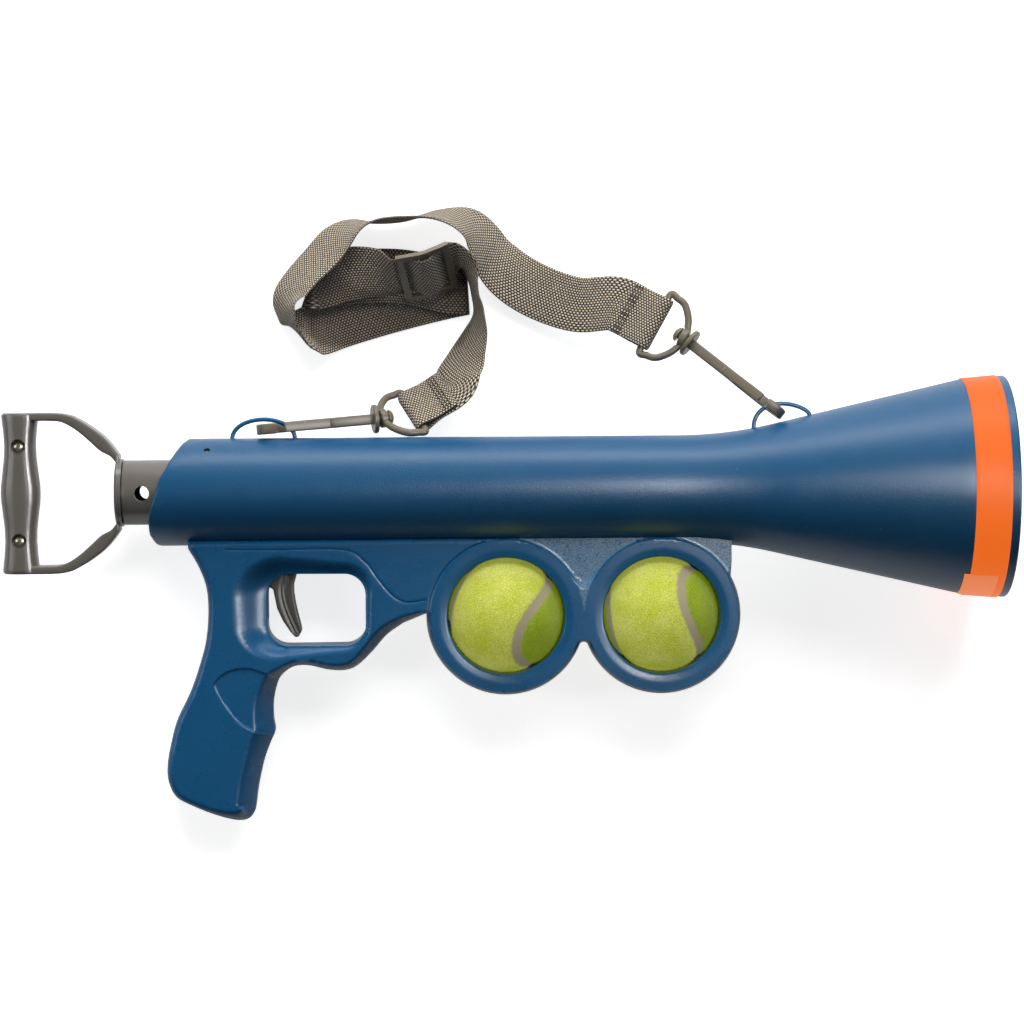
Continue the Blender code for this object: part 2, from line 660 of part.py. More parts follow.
def make_barrel(launcher):
    """The barrel with its stop ring, lugs, sear slot and holes, and the tape round its mouth."""
    outer = barrel_side(0)
    inner = barrel_side(-BARREL_WALL)
    lip_radius = BARREL_WALL / 2
    lip_x = BARREL_LENGTH - lip_radius
    lip_centre = (lip_x, barrel_radius_at(lip_x) - lip_radius)
    outer[-1] = (lip_x, barrel_radius_at(lip_x))
    lip = arc(lip_centre, lip_radius, math.pi / 2, -math.pi / 2, LIP_STEPS)[1:]
    inner = inner[1:-1]
    stop_end = STOP_RING_X + STOP_RING_LENGTH
    inside = [p for p in inner[::-1] if p[0] > stop_end + OVERRUN]
    flare_radius = barrel_radius_at(stop_end) - BARREL_WALL
    inside += [
        (stop_end, flare_radius), (stop_end, STOP_RING_RADIUS), (STOP_RING_X, STOP_RING_RADIUS),
        (STOP_RING_X, bore_radius()), (REAR_BOTTOM_X - OVERRUN, bore_radius())]
    shell = turned(outer + lip + inside, BARREL_STEPS)
    slant = math.atan2(REAR_TOP_X - REAR_BOTTOM_X, 2 * BARREL_RADIUS)
    reach = BARREL_RADIUS * 2
    cutter = place(
        box((-reach, -reach, -reach), (0, reach, reach)),
        ((REAR_TOP_X + REAR_BOTTOM_X) / 2, 0, 0), (0, 0, -slant))
    lugs = []
    for x in lug_places():
        radius = barrel_radius_at(x)
        lugs.append(box(
            (x - LUG_LENGTH / 2, -radius - LUG_DROP, -LUG_HALF_DEPTH),
            (x + LUG_LENGTH / 2, BARREL_WALL / 2 - radius, LUG_HALF_DEPTH)))
    shell = join(shell, *lugs)
    hole = SCREW_RADIUS + GAP
    drills = [
        rod(hole, (x, lug_screw_y(x), -LUG_HALF_DEPTH - OVERRUN), (x, lug_screw_y(x), LUG_HALF_DEPTH + OVERRUN))
        for x in lug_places()]
    slot_rear, slot_front, slot_half = sear_slot()
    slot = box((slot_rear, -BARREL_RADIUS - OVERRUN, -slot_half), (slot_front, -bore_radius() / 2, slot_half))
    grub_holes = [
        grub_rod(side, GRUB_RADIUS + GAP, bore_radius() / 2, BARREL_RADIUS + OVERRUN) for side in (0, 1)]
    feet = []
    for middle, span in ((REAR_LOOP_X, REAR_LOOP_SPAN), (FRONT_LOOP_X, FRONT_LOOP_SPAN)):
        for x in (middle - span / 2, middle + span / 2):
            radius = barrel_radius_at(x)
            feet.append(rod(LOOP_WIRE + GAP, (x, radius - 2 * BARREL_WALL, 0), (x, radius + LUG_LENGTH, 0)))
    shell = cut(shell, cutter, slot, *drills, *grub_holes, *feet)
    node("barrel", shell, BLUE, launcher)
    tape_end = TAPE_START + TAPE_WIDTH
    low, high = barrel_radius_at(TAPE_START) + GAP, barrel_radius_at(tape_end) + GAP
    tape = turned(
        [(TAPE_START, low + TAPE_THICKNESS), (tape_end, high + TAPE_THICKNESS), (tape_end, high),
         (TAPE_START, low)], BARREL_STEPS)
    node("orange_band", tape, ORANGE, launcher)


def grub_rod(side, radius, inner, outer):
    """A radial rod at one of the two places of the bushing's grub screws."""
    angle = GRUB_ANGLE + side * math.pi
    way = Vector((0, math.sin(angle), math.cos(angle)))
    foot = Vector((GRUB_X, 0, 0))
    return rod(radius, foot + way * inner, foot + way * outer)


def make_sleeve(launcher):
    """The sleeve that guides the tube and seats the main spring, with its two grub screws."""
    start = REAR_TOP_X + SLEEVE_INSET
    outer = bore_radius() - GAP
    inner = TUBE_RADIUS + GAP
    waist = inner + SLEEVE_WALL
    profile = [
        (start, outer), (start + SLEEVE_REAR_FLANGE, outer), (start + SLEEVE_REAR_FLANGE, waist),
        (SLEEVE_END_X - SLEEVE_FRONT_FLANGE, waist), (SLEEVE_END_X - SLEEVE_FRONT_FLANGE, outer),
        (SLEEVE_END_X, outer), (SLEEVE_END_X, inner), (start, inner)]
    slot_rear, slot_front, slot_half = sear_slot()
    slot = box((slot_rear, -BARREL_RADIUS, -slot_half), (slot_front, -TUBE_RADIUS / 2, slot_half))
    grub_holes = [grub_rod(side, GRUB_RADIUS + GAP, TUBE_RADIUS / 2, BARREL_RADIUS) for side in (0, 1)]
    node("bushing_sleeve", cut(turned(profile, TUBE_STEPS), slot, *grub_holes), WHITE_PLASTIC, launcher)
    grub_outer = BARREL_RADIUS - GRUB_DEPTH
    for side, name in enumerate(("near", "far")):
        node("bushing_screw_" + name, grub_rod(side, GRUB_RADIUS, grub_outer - GRUB_LENGTH, grub_outer), STEEL, launcher)


def make_plunger(launcher):
    """The pull tube, plunger head, rubber pad, its screw and the main spring."""
    head_front = STOP_RING_X - GAP
    head_rear = head_front - HEAD_LENGTH
    tube_front = head_rear - GAP
    tube = turned(
        [(TUBE_REAR_X, TUBE_RADIUS), (tube_front, TUBE_RADIUS), (tube_front, TUBE_RADIUS - TUBE_WALL),
         (TUBE_REAR_X, TUBE_RADIUS - TUBE_WALL)], TUBE_STEPS)
    through = BARREL_RADIUS
    hole = rod(TUBE_HOLE_RADIUS, (TUBE_HOLE_X, 0, -through), (TUBE_HOLE_X, 0, through), 2 * SCREW_SIDES)
    slot_rear, slot_front, slot_half = sear_slot()
    catch = box(
        (SEAR_X - SEAR_NOSE_BACK - RUN + STROKE, -TUBE_RADIUS - OVERRUN, -slot_half),
        (slot_front + STROKE, -TUBE_RADIUS / 2, slot_half))
    rivet_x = rivet_place()
    rivet_hole = rod(RIVET_RADIUS + GAP, (rivet_x, -through, 0), (rivet_x, through, 0))
    node("pull_tube", cut(tube, hole, catch, rivet_hole), GREY, launcher)
    plug = TUBE_RADIUS - TUBE_WALL - GAP
    outer = bore_radius() - GAP - GAP / 3
    groove = HEAD_LENGTH / 3
    head = turned(
        [(head_rear - HEAD_PLUG_LENGTH, 0), (head_rear - HEAD_PLUG_LENGTH, plug), (head_rear, plug),
         (head_rear, outer), (head_rear + groove, outer), (head_rear + groove, outer - HEAD_GROOVE),
         (head_front - groove, outer - HEAD_GROOVE), (head_front - groove, outer), (head_front, outer),
         (head_front, 0)], TUBE_STEPS, closed=False)
    pad_front = head_front + GAP + PAD_THICKNESS
    screw_top = pad_front - HEAD_SCREW_SINK
    screw_neck = screw_top - HEAD_SCREW_HEAD
    tip = screw_neck - HEAD_SCREW_LENGTH
    drill = rod(HEAD_SCREW_RADIUS + GAP, (tip - GAP, 0, 0), (pad_front + OVERRUN, 0, 0))
    node("plunger_head", cut(head, drill), WHITE_PLASTIC, launcher)
    pad = turned(
        [(head_front + GAP, 0), (head_front + GAP, PAD_RADIUS), (pad_front - PAD_ROUND, PAD_RADIUS),
         (pad_front, PAD_RADIUS - PAD_ROUND), (pad_front, 0)], TUBE_STEPS, closed=False)
    drill = rod(HEAD_SCREW_RADIUS + GAP, (head_front - OVERRUN, 0, 0), (pad_front + OVERRUN, 0, 0))
    sink = rod(HEAD_SCREW_HEAD_RADIUS + GAP, (screw_neck - GAP, 0, 0), (pad_front + OVERRUN, 0, 0))
    node("plunger_pad", cut(pad, drill, sink), BLACK_RUBBER, launcher)
    screw = turned(
        [(tip, 0), (tip, HEAD_SCREW_RADIUS), (screw_neck, HEAD_SCREW_RADIUS),
         (screw_neck, HEAD_SCREW_HEAD_RADIUS), (screw_top, HEAD_SCREW_HEAD_RADIUS), (screw_top, 0)],
        SCREW_SIDES, closed=False)
    node("plunger_screw", screw, STEEL, launcher)
    seat = GAP + SPRING_WIRE_RADIUS
    coil = helix(
        SPRING_RADIUS, SLEEVE_END_X + seat, head_rear - seat, SPRING_TURNS, SPRING_STEPS_PER_TURN)
    node("main_spring", wire(coil, SPRING_WIRE_RADIUS, resolution=0), STEEL, launcher)


def rivet_place():
    """Where the rivets hold the handle's tongues in the tube."""
    return TUBE_REAR_X - GAP + TONGUE_LENGTH - RIVET_INSET


def bar_outline():
    """The handle bar's outline, wider in its middle."""
    full = BAR_WIDTH_SHARES + [(-share, width) for share, width in BAR_WIDTH_SHARES[-2::-1]]
    front = [(BAR_CENTRE_X + BAR_WIDTH / 2 * width, HANDLE_HALF_HEIGHT * share) for share, width in full]
    rear = [(BAR_CENTRE_X - BAR_WIDTH / 2 * width, HANDLE_HALF_HEIGHT * share) for share, width in full]
    return front + rear[::-1]


def make_handle(launcher):
    """The D-handle: frame with arms, flange and tongues, cover, screws and rivets."""
    flange_front = TUBE_REAR_X - GAP
    flange_rear = flange_front - FLANGE_LENGTH
    arm_start = BAR_CENTRE_X + BAR_WIDTH / 2
    arm_length = flange_front - FLANGE_LENGTH / 2 - arm_start
    bar = plate(bar_outline(), -BAR_HALF_DEPTH, BAR_HALF_DEPTH, bevel=HANDLE_BEVEL)
    reach = BAR_WIDTH
    seam_y = HANDLE_HALF_HEIGHT * COVER_HALF_SHARE
    cover_space = box(
        (BAR_CENTRE_X - reach, -seam_y, -GAP / 2), (BAR_CENTRE_X + reach, seam_y, BAR_HALF_DEPTH + OVERRUN))
    cover = cut(bar.copy(), *[
        box((BAR_CENTRE_X - reach, -HANDLE_HALF_HEIGHT - OVERRUN, -BAR_HALF_DEPTH - OVERRUN),
            (BAR_CENTRE_X + reach, HANDLE_HALF_HEIGHT + OVERRUN, GAP / 2)),
        box((BAR_CENTRE_X - reach, seam_y - GAP, -reach),
            (BAR_CENTRE_X + reach, seam_y + reach, reach)),
        box((BAR_CENTRE_X - reach, -seam_y - reach, -reach),
            (BAR_CENTRE_X + reach, -seam_y + GAP, reach))])
    pieces = [rod(FLANGE_RADIUS, (flange_rear, 0, 0), (flange_front, 0, 0), TUBE_STEPS)]
    for side in (1, -1):
        arm = [
            (arm_start + arm_length * x, side * HANDLE_HALF_HEIGHT * y)
            for x, y in ARM_OUTER_SHARES + ARM_INNER_SHARES]
        pieces.append(plate(arm, -ARM_HALF_DEPTH, ARM_HALF_DEPTH, bevel=ARM_BEVEL))
    frame = join(cut(bar, cover_space), *pieces)
    inner = TUBE_RADIUS - TUBE_WALL - GAP
    tongue_top = math.sqrt(inner ** 2 - TONGUE_HALF_WIDTH ** 2)
    tongues = []
    for side in (1, -1):
        low_y, high_y = sorted((side * (tongue_top - TONGUE_THICKNESS), side * tongue_top))
        tongues.append(box(
            (flange_front - FLANGE_LENGTH / 2, low_y, -TONGUE_HALF_WIDTH),
            (flange_front + TONGUE_LENGTH, high_y, TONGUE_HALF_WIDTH)))
    frame = join(frame, *tongues)
    hole = HANDLE_SCREW_RADIUS + GAP
    screw_tip = BAR_HALF_DEPTH - HANDLE_RECESS_DEPTH - HANDLE_SCREW_LENGTH
    rivet_x = rivet_place()
    drills = [rod(RIVET_RADIUS + GAP, (rivet_x, -TUBE_RADIUS, 0), (rivet_x, TUBE_RADIUS, 0))]
    for side in (1, -1):
        y = side * HANDLE_SCREW_Y
        drills.append(rod(hole, (BAR_CENTRE_X, y, screw_tip - GAP), (BAR_CENTRE_X, y, BAR_HALF_DEPTH)))
    node("handle_frame", cut(frame, *drills), GREY, launcher)
    recesses = []
    head_low = BAR_HALF_DEPTH - HANDLE_RECESS_DEPTH
    for side in (1, -1):
        y = side * HANDLE_SCREW_Y
        recesses.append(rod(
            HANDLE_RECESS_RADIUS, (BAR_CENTRE_X, y, head_low - HANDLE_SCREW_HEAD),
            (BAR_CENTRE_X, y, BAR_HALF_DEPTH + OVERRUN), 2 * SCREW_SIDES))
        recesses.append(rod(hole, (BAR_CENTRE_X, y, -OVERRUN), (BAR_CENTRE_X, y, BAR_HALF_DEPTH)))
        neck = head_low - HANDLE_SCREW_HEAD + GAP
        head = rod(HANDLE_SCREW_HEAD_RADIUS, (BAR_CENTRE_X, y, neck), (BAR_CENTRE_X, y, neck + HANDLE_SCREW_HEAD))
        shank = rod(HANDLE_SCREW_RADIUS, (BAR_CENTRE_X, y, screw_tip), (BAR_CENTRE_X, y, neck + HANDLE_SCREW_HEAD / 2))
        node("handle_screw_" + SIDE_NAMES[side], join(head, shank), STEEL, launcher)
        rivet = rod(
            RIVET_RADIUS, (rivet_x, side * (tongue_top - TONGUE_THICKNESS), 0),
            (rivet_x, side * (TUBE_RADIUS - GAP), 0))
        node("handle_rivet_" + SIDE_NAMES[side], rivet, STEEL, launcher)
    node("handle_cover", cut(cover, *recesses), GREY, launcher)


def ring_centres():
    """The ball rings' centres."""
    return [(RING_X, RING_Y), (RING_X + RING_PITCH, RING_Y)]


def housing_outline():
    """The lower body's side view, from the plate's rear corner down the grip and round the rings."""
    outline = [(HOUSING_REAR_X, PLATE_TOP_Y)]
    outline += [(HOUSING_REAR_X + x * GRIP_SPAN, PLATE_TOP_Y - y * GRIP_DROP) for x, y in GRIP_SHARES]
    outline += [(GUARD_X + x * GUARD_LENGTH, GUARD_TOP_Y - y * GUARD_HEIGHT) for x, y in UNDERSIDE_SHARES]
    rear, front = ring_centres()
    half = RING_PITCH / 2
    reach = RING_RADIUS + RING_CUSP_FILLET
    drop = math.sqrt(reach ** 2 - half ** 2)
    lean = math.atan2(drop, half)
    outline += arc(rear, RING_RADIUS, math.pi * 0.99, math.tau - lean, RING_STEPS)
    cusp = (RING_X + half, RING_Y - drop)
    outline += arc(cusp, RING_CUSP_FILLET, math.pi - lean, lean, 3)[1:-1]
    end = math.acos((HOUSING_FRONT_X - front[0]) / RING_RADIUS)
    outline += arc(front, RING_RADIUS, -math.pi + lean, end, RING_STEPS)
    outline.append((HOUSING_FRONT_X, PLATE_TOP_Y))
    return outline


def guard_outline(margin=0):
    """The trigger guard's opening, a rounded rectangle, grown by a margin."""
    corner = GUARD_CORNER + margin
    left, right = GUARD_X - margin, GUARD_X + GUARD_LENGTH + margin
    top, bottom = GUARD_TOP_Y + margin, GUARD_TOP_Y - GUARD_HEIGHT - margin
    quarter = math.pi / 2
    outline = []
    for i, (x, y) in enumerate((
            (right - corner, top - corner), (left + corner, top - corner),
            (left + corner, bottom + corner), (right - corner, bottom + corner))):
        outline += arc((x, y), corner, quarter * i, quarter * (i + 1), GUARD_STEPS)
    return outline


def screw_places():
    """The lower body's screws: (x, y, whether it goes through a lug)."""
    span, drop = HOUSING_FRONT_X - HOUSING_REAR_X, GRIP_DROP
    places = [(x, lug_screw_y(x), True) for x in lug_places()]
    places += [
        (HOUSING_REAR_X + x * span, PLATE_TOP_Y - y * drop, False) for x, y in PLAIN_SCREW_SHARES]
    places.append((RING_X + RING_PITCH / 2, RING_Y, False))
    return places


def housing_cavity():
    """The space inside the lower body, which leaves its walls and bosses."""
    inside = HALF_DEPTH - HOUSING_WALL
    cavity = plate(housing_outline(), -inside, inside, offset=-HOUSING_WALL)
    roof = -BARREL_RADIUS - GAP - HOUSING_WALL
    keep = [box((-BARREL_LENGTH, roof, -HALF_DEPTH), (BARREL_LENGTH, BARREL_RADIUS, HALF_DEPTH))]
    keep.append(plate(guard_outline(HOUSING_WALL), -HALF_DEPTH, HALF_DEPTH))
    for x, y in ring_centres():
        keep.append(rod(
            BALL_RADIUS + GAP + HOUSING_WALL, (x, y, -HALF_DEPTH), (x, y, HALF_DEPTH), BORE_STEPS))
    panel_floor = HALF_DEPTH - PANEL_DEPTH - HOUSING_WALL
    for side in (1, -1):
        low, high = sorted((side * panel_floor, side * HALF_DEPTH))
        keep.append(box((RING_X, RING_Y, low), (HOUSING_FRONT_X, -BARREL_RADIUS, high)))
    for x, y, through_lug in screw_places():
        if through_lug:
            for side in (1, -1):
                keep.append(rod(BOSS_RADIUS, (x, y, side * (LUG_HALF_DEPTH + RUN)), (x, y, side * HALF_DEPTH)))
        else:
            keep.append(rod(BOSS_RADIUS, (x, y, -HALF_DEPTH), (x, y, HALF_DEPTH)))
    trigger_face, sear_face = TRIGGER_HALF_WIDTH + RUN, SEAR_HALF_WIDTH + RUN
    for x, y, face in ((TRIGGER_X, TRIGGER_Y, trigger_face), (SEAR_X, SEAR_Y, sear_face)):
        keep.append(rod(PIN_BOSS_RADIUS, (x, y, face + SMALL_SPRING_ROOM), (x, y, HALF_DEPTH)))
        keep.append(rod(PIN_BOSS_RADIUS, (x, y, -HALF_DEPTH), (x, y, -face)))
    return cut(cavity, *keep)


def ball_bore(x, y):
    """The space of a ball in its ring: straight from the near side, narrowing to a seat on the far side."""
    radius = BALL_RADIUS + GAP
    slope = (radius - BALL_SEAT_RADIUS) / (HALF_DEPTH - BALL_SEAT_DEPTH)
    profile = [
        (HALF_DEPTH + OVERRUN, 0), (HALF_DEPTH + OVERRUN, radius), (-BALL_SEAT_DEPTH, radius),
        (-HALF_DEPTH - OVERRUN, BALL_SEAT_RADIUS - OVERRUN * slope), (-HALF_DEPTH - OVERRUN, 0)]
    return place(turned(profile, BORE_STEPS, axis="Z", closed=False), (x, y, 0))


def panel_cutters():
    """The shallow recess of the side face between the plate's edge strip and the rings, on both sides."""
    cutters = []
    rear, front = ring_centres()
    top = PLATE_TOP_Y - PANEL_MARGIN
    for side in (1, -1):
        low, high = sorted((side * (HALF_DEPTH - PANEL_DEPTH), side * (HALF_DEPTH + OVERRUN)))
        panel = box((rear[0], RING_Y, low), (HOUSING_FRONT_X - PANEL_MARGIN, top, high))
        keep = [
            rod(RING_RADIUS - HOUSING_WALL, (x, y, -HALF_DEPTH * 2), (x, y, HALF_DEPTH * 2), BORE_STEPS)
            for x, y in ring_centres()]
        keep.append(box(
            (front[0], RING_Y - OVERRUN, -HALF_DEPTH * 2),
            (HOUSING_FRONT_X, RING_Y + RING_RADIUS / 2, HALF_DEPTH * 2)))
        cutters.append(cut(panel, *keep))
    return cutters


def make_housing(launcher):
    """The lower body's two halves and the screws that hold them together from the far side."""
    body = plate(housing_outline(), -HALF_DEPTH, HALF_DEPTH, bevel=HOUSING_BEVEL)
    seat = barrel_side(GAP)
    seat = [(seat[0][0], 0), *seat, (seat[-1][0], 0)]
    slot_rear, slot_front, slot_half = sear_slot()
    trigger_half = TRIGGER_HALF_WIDTH + RUN
    cutters = [
        housing_cavity(), plate(guard_outline(), -HALF_DEPTH - OVERRUN, HALF_DEPTH + OVERRUN),
        turned(seat, BARREL_STEPS, closed=False),
        box((slot_rear, SEAR_Y, -slot_half), (slot_front, -BARREL_RADIUS / 2, slot_half)),
        box(
            (GUARD_X - 2 * HOUSING_WALL, TRIGGER_Y - TRIGGER_DROP * 0.72, -trigger_half),
            (TRIGGER_X + TRIGGER_DROP / 6, GUARD_TOP_Y + HOUSING_WALL + OVERRUN, trigger_half))]
    cutters += [
        box((x - LUG_LENGTH / 2 - RUN, -barrel_radius_at(x) - LUG_DROP - RUN, -LUG_HALF_DEPTH - RUN),
            (x + LUG_LENGTH / 2 + RUN, -BARREL_RADIUS / 2, LUG_HALF_DEPTH + RUN)) for x in lug_places()]
    cutters += [ball_bore(x, y) for x, y in ring_centres()]
    cutters += panel_cutters()
    for x, y in ((TRIGGER_X, TRIGGER_Y), (SEAR_X, SEAR_Y)):
        cutters.append(rod(PIN_RADIUS + GAP, (x, y, -PIN_HALF_LENGTH - GAP), (x, y, PIN_HALF_LENGTH + GAP)))
    head_floor = -HALF_DEPTH + SCREW_SINK
    tip = head_floor + SCREW_LENGTH
    for x, y, _ in screw_places():
        cutters.append(rod(SCREW_RADIUS + GAP, (x, y, -HALF_DEPTH), (x, y, tip + GAP)))
        cutters.append(rod(SCREW_HEAD_RADIUS + GAP, (x, y, -HALF_DEPTH - OVERRUN), (x, y, head_floor)))
    body = cut(body, *cutters)
    reach = BARREL_LENGTH
    far_side = box((-reach, -reach, -HALF_DEPTH * 2), (reach, reach, GAP / 2))
    near_side = box((-reach, -reach, -GAP / 2), (reach, reach, HALF_DEPTH * 2))
    node("body_near", cut(body.copy(), far_side), BLUE, launcher)
    node("body_far", cut(body, near_side), BLUE, launcher)
    for number, (x, y, _) in enumerate(screw_places(), start=1):
        top = head_floor - GAP
        shank = rod(SCREW_RADIUS, (x, y, top - SCREW_HEAD / 2), (x, y, tip))
        head = rod(SCREW_HEAD_RADIUS, (x, y, top - SCREW_HEAD), (x, y, top))
        node(f"body_screw_{number}", join(head, shank), STEEL, launcher)


def make_balls(launcher):
    """The two tennis balls, which push out of the rings to the near side."""
    for name, (x, y) in zip(("ball_rear", "ball_front"), ring_centres()):
        shape = bmesh.new()
        bmesh.ops.create_uvsphere(shape, u_segments=BALL_SEGMENTS, v_segments=BALL_RINGS, radius=BALL_RADIUS)
        mesh = bpy.data.meshes.new(name)
        shape.to_mesh(mesh)
        shape.free()
        node(name, place(mesh, (x, y, 0)), FELT, launcher, (x, y, 0))


def small_spring(x, y, face, leg_turns):
    """A torsion spring round a lever's pin, with two straight legs."""
    steps = SPRING_STEPS_PER_TURN
    low = face + SMALL_SPRING_WIRE * 2
    high = face + SMALL_SPRING_ROOM - SMALL_SPRING_WIRE * 2
    count = SMALL_SPRING_TURNS * steps
    coil = []
    for i in range(count + 1):
        angle = leg_turns * math.tau + math.tau * i / steps
        z = low + (high - low) * i / count
        coil.append((x + SMALL_SPRING_RADIUS * math.cos(angle), y + SMALL_SPRING_RADIUS * math.sin(angle), z))
    first, last = Vector(coil[0]), Vector(coil[-1])
    centre_low, centre_high = Vector((x, y, low)), Vector((x, y, high))
    out = LEVER_AXIS.cross(first - centre_low).normalized() * -SMALL_SPRING_LEG
    back = LEVER_AXIS.cross(last - centre_high).normalized() * SMALL_SPRING_LEG
    return wire([first + out, *coil, last + back], SMALL_SPRING_WIRE, resolution=0)


def make_trigger(launcher):
    """The trigger, the sear that it lowers, their pins and return springs."""
    outline = [(TRIGGER_X + x * TRIGGER_DROP, TRIGGER_Y + y * TRIGGER_DROP) for x, y in TRIGGER_SHARES]
    trigger = plate(outline, -TRIGGER_HALF_WIDTH, TRIGGER_HALF_WIDTH)
    trigger = rounded(trigger, GAP * 2, segments=1)
    pin_hole = rod(PIN_RADIUS + GAP, (TRIGGER_X, TRIGGER_Y, -HALF_DEPTH), (TRIGGER_X, TRIGGER_Y, HALF_DEPTH))
    node("trigger", cut(trigger, pin_hole), DARK_GREY, launcher, (TRIGGER_X, TRIGGER_Y, 0))
    nose_top = -TUBE_RADIUS - RUN
    sear = [
        (SEAR_X - SEAR_NOSE_BACK, nose_top), (SEAR_X - SEAR_NOSE_FRONT, nose_top),
        (SEAR_X - SEAR_NOSE_FRONT, SEAR_Y + SEAR_HUB * 1.4), (SEAR_X - SEAR_HUB, SEAR_Y + SEAR_HUB),
        (SEAR_X + SEAR_HUB, SEAR_Y + SEAR_HUB * 0.9), (SEAR_X + SEAR_TAIL, SEAR_Y + SEAR_HUB * 0.85),
        (SEAR_X + SEAR_TAIL, SEAR_Y + SEAR_HUB * 0.15), (SEAR_X + SEAR_HUB * 1.2, SEAR_Y),
        (SEAR_X + SEAR_HUB * 0.6, SEAR_Y - SEAR_HUB), (SEAR_X - SEAR_HUB, SEAR_Y - SEAR_HUB),
        (SEAR_X - SEAR_NOSE_BACK, SEAR_Y - SEAR_ARM / 2)]
    sear = plate(sear, -SEAR_HALF_WIDTH, SEAR_HALF_WIDTH)
    pin_hole = rod(PIN_RADIUS + GAP, (SEAR_X, SEAR_Y, -HALF_DEPTH), (SEAR_X, SEAR_Y, HALF_DEPTH))
    node("sear", cut(sear, pin_hole), WHITE_PLASTIC, launcher, (SEAR_X, SEAR_Y, 0))
    for name, x, y, half, turns in (
            ("trigger", TRIGGER_X, TRIGGER_Y, TRIGGER_HALF_WIDTH, 0.75),
            ("sear", SEAR_X, SEAR_Y, SEAR_HALF_WIDTH, 0.25)):
        pin = rod(PIN_RADIUS, (x, y, -PIN_HALF_LENGTH), (x, y, PIN_HALF_LENGTH))
        node(name + "_pin", pin, STEEL, launcher)
        node(name + "_spring", small_spring(x, y, half + RUN, turns), STEEL, launcher)


def make_loops(launcher):
    """The two wire loops that the hooks clip to."""
    for name, middle, span, rise in (
            ("strap_loop_rear", REAR_LOOP_X, REAR_LOOP_SPAN, REAR_LOOP_RISE),
            ("strap_loop_front", FRONT_LOOP_X, FRONT_LOOP_SPAN, FRONT_LOOP_RISE)):
        node(name, wire(loop_points(middle, span, rise), LOOP_WIRE), BLUE, launcher)


def world_points(names):
    """The corners of some pieces in their parent's frame."""
    points = []
    for name in names:
        piece = bpy.data.objects[name]
        points += [piece.matrix_local @ vertex.co for vertex in piece.data.vertices]
    return points


def lay_down(launcher):
    """Turn the launcher until muzzle, barrel rear and lower body all touch the ground, axis along X."""
    barrel = world_points(["barrel", "orange_band"])
    middle = BARREL_LENGTH / 2
    groups = (
        [p for p in barrel if p.x > middle],
        [p for p in barrel if p.x < middle],
        world_points(["body_far"]))

    def heights(pitch, roll):
        turn = (Matrix.Rotation(-pitch, 3, "Y") @ Matrix.Rotation(roll, 3, "X"))[2]
        return [min(turn.dot(p) for p in points) for points in groups]

    pitch, roll = 0.0, 0.0
    for _ in range(LAY_ROUNDS):
        muzzle, rear, body = heights(pitch, roll)
        pitch += (rear - muzzle) / (BARREL_LENGTH - REAR_TOP_X)
        muzzle, rear, body = heights(pitch, roll)
        at_grip = muzzle + (rear - muzzle) * (1 - GRIP_SPAN / BARREL_LENGTH)
        roll += (body - at_grip) / GRIP_DROP
    launcher.rotation_euler = (Matrix.Rotation(-pitch, 3, "Y") @ Matrix.Rotation(roll, 3, "X")).to_euler()
    launcher.location.z = -min(heights(pitch, roll))
    bpy.context.view_layer.update()


def settle_origin(ground):
    """Shift everything so that the origin is under the middle of the whole object."""
    bpy.context.view_layer.update()
    corners = [
        piece.matrix_world @ vertex.co
        for piece in PARTS.objects if piece.type == "MESH" for vertex in piece.data.vertices]
    low = Vector([min(c[i] for c in corners) for i in range(3)])
    high = Vector([max(c[i] for c in corners) for i in range(3)])
    ground.location = (-(low.x + high.x) / 2, -(low.y + high.y) / 2, -low.z)
    bpy.context.view_layer.update()


def frame_of(way, roll=0):
    """A frame whose X is one way, whose Y is as level as can be, turned about X by a roll."""
    along = Vector(way).normalized()
    across = LEVER_AXIS.cross(along).normalized()
    upward = along.cross(across)
    base = Matrix((along, across, upward)).transposed()
    return base @ Matrix.Rotation(roll, 3, "X")


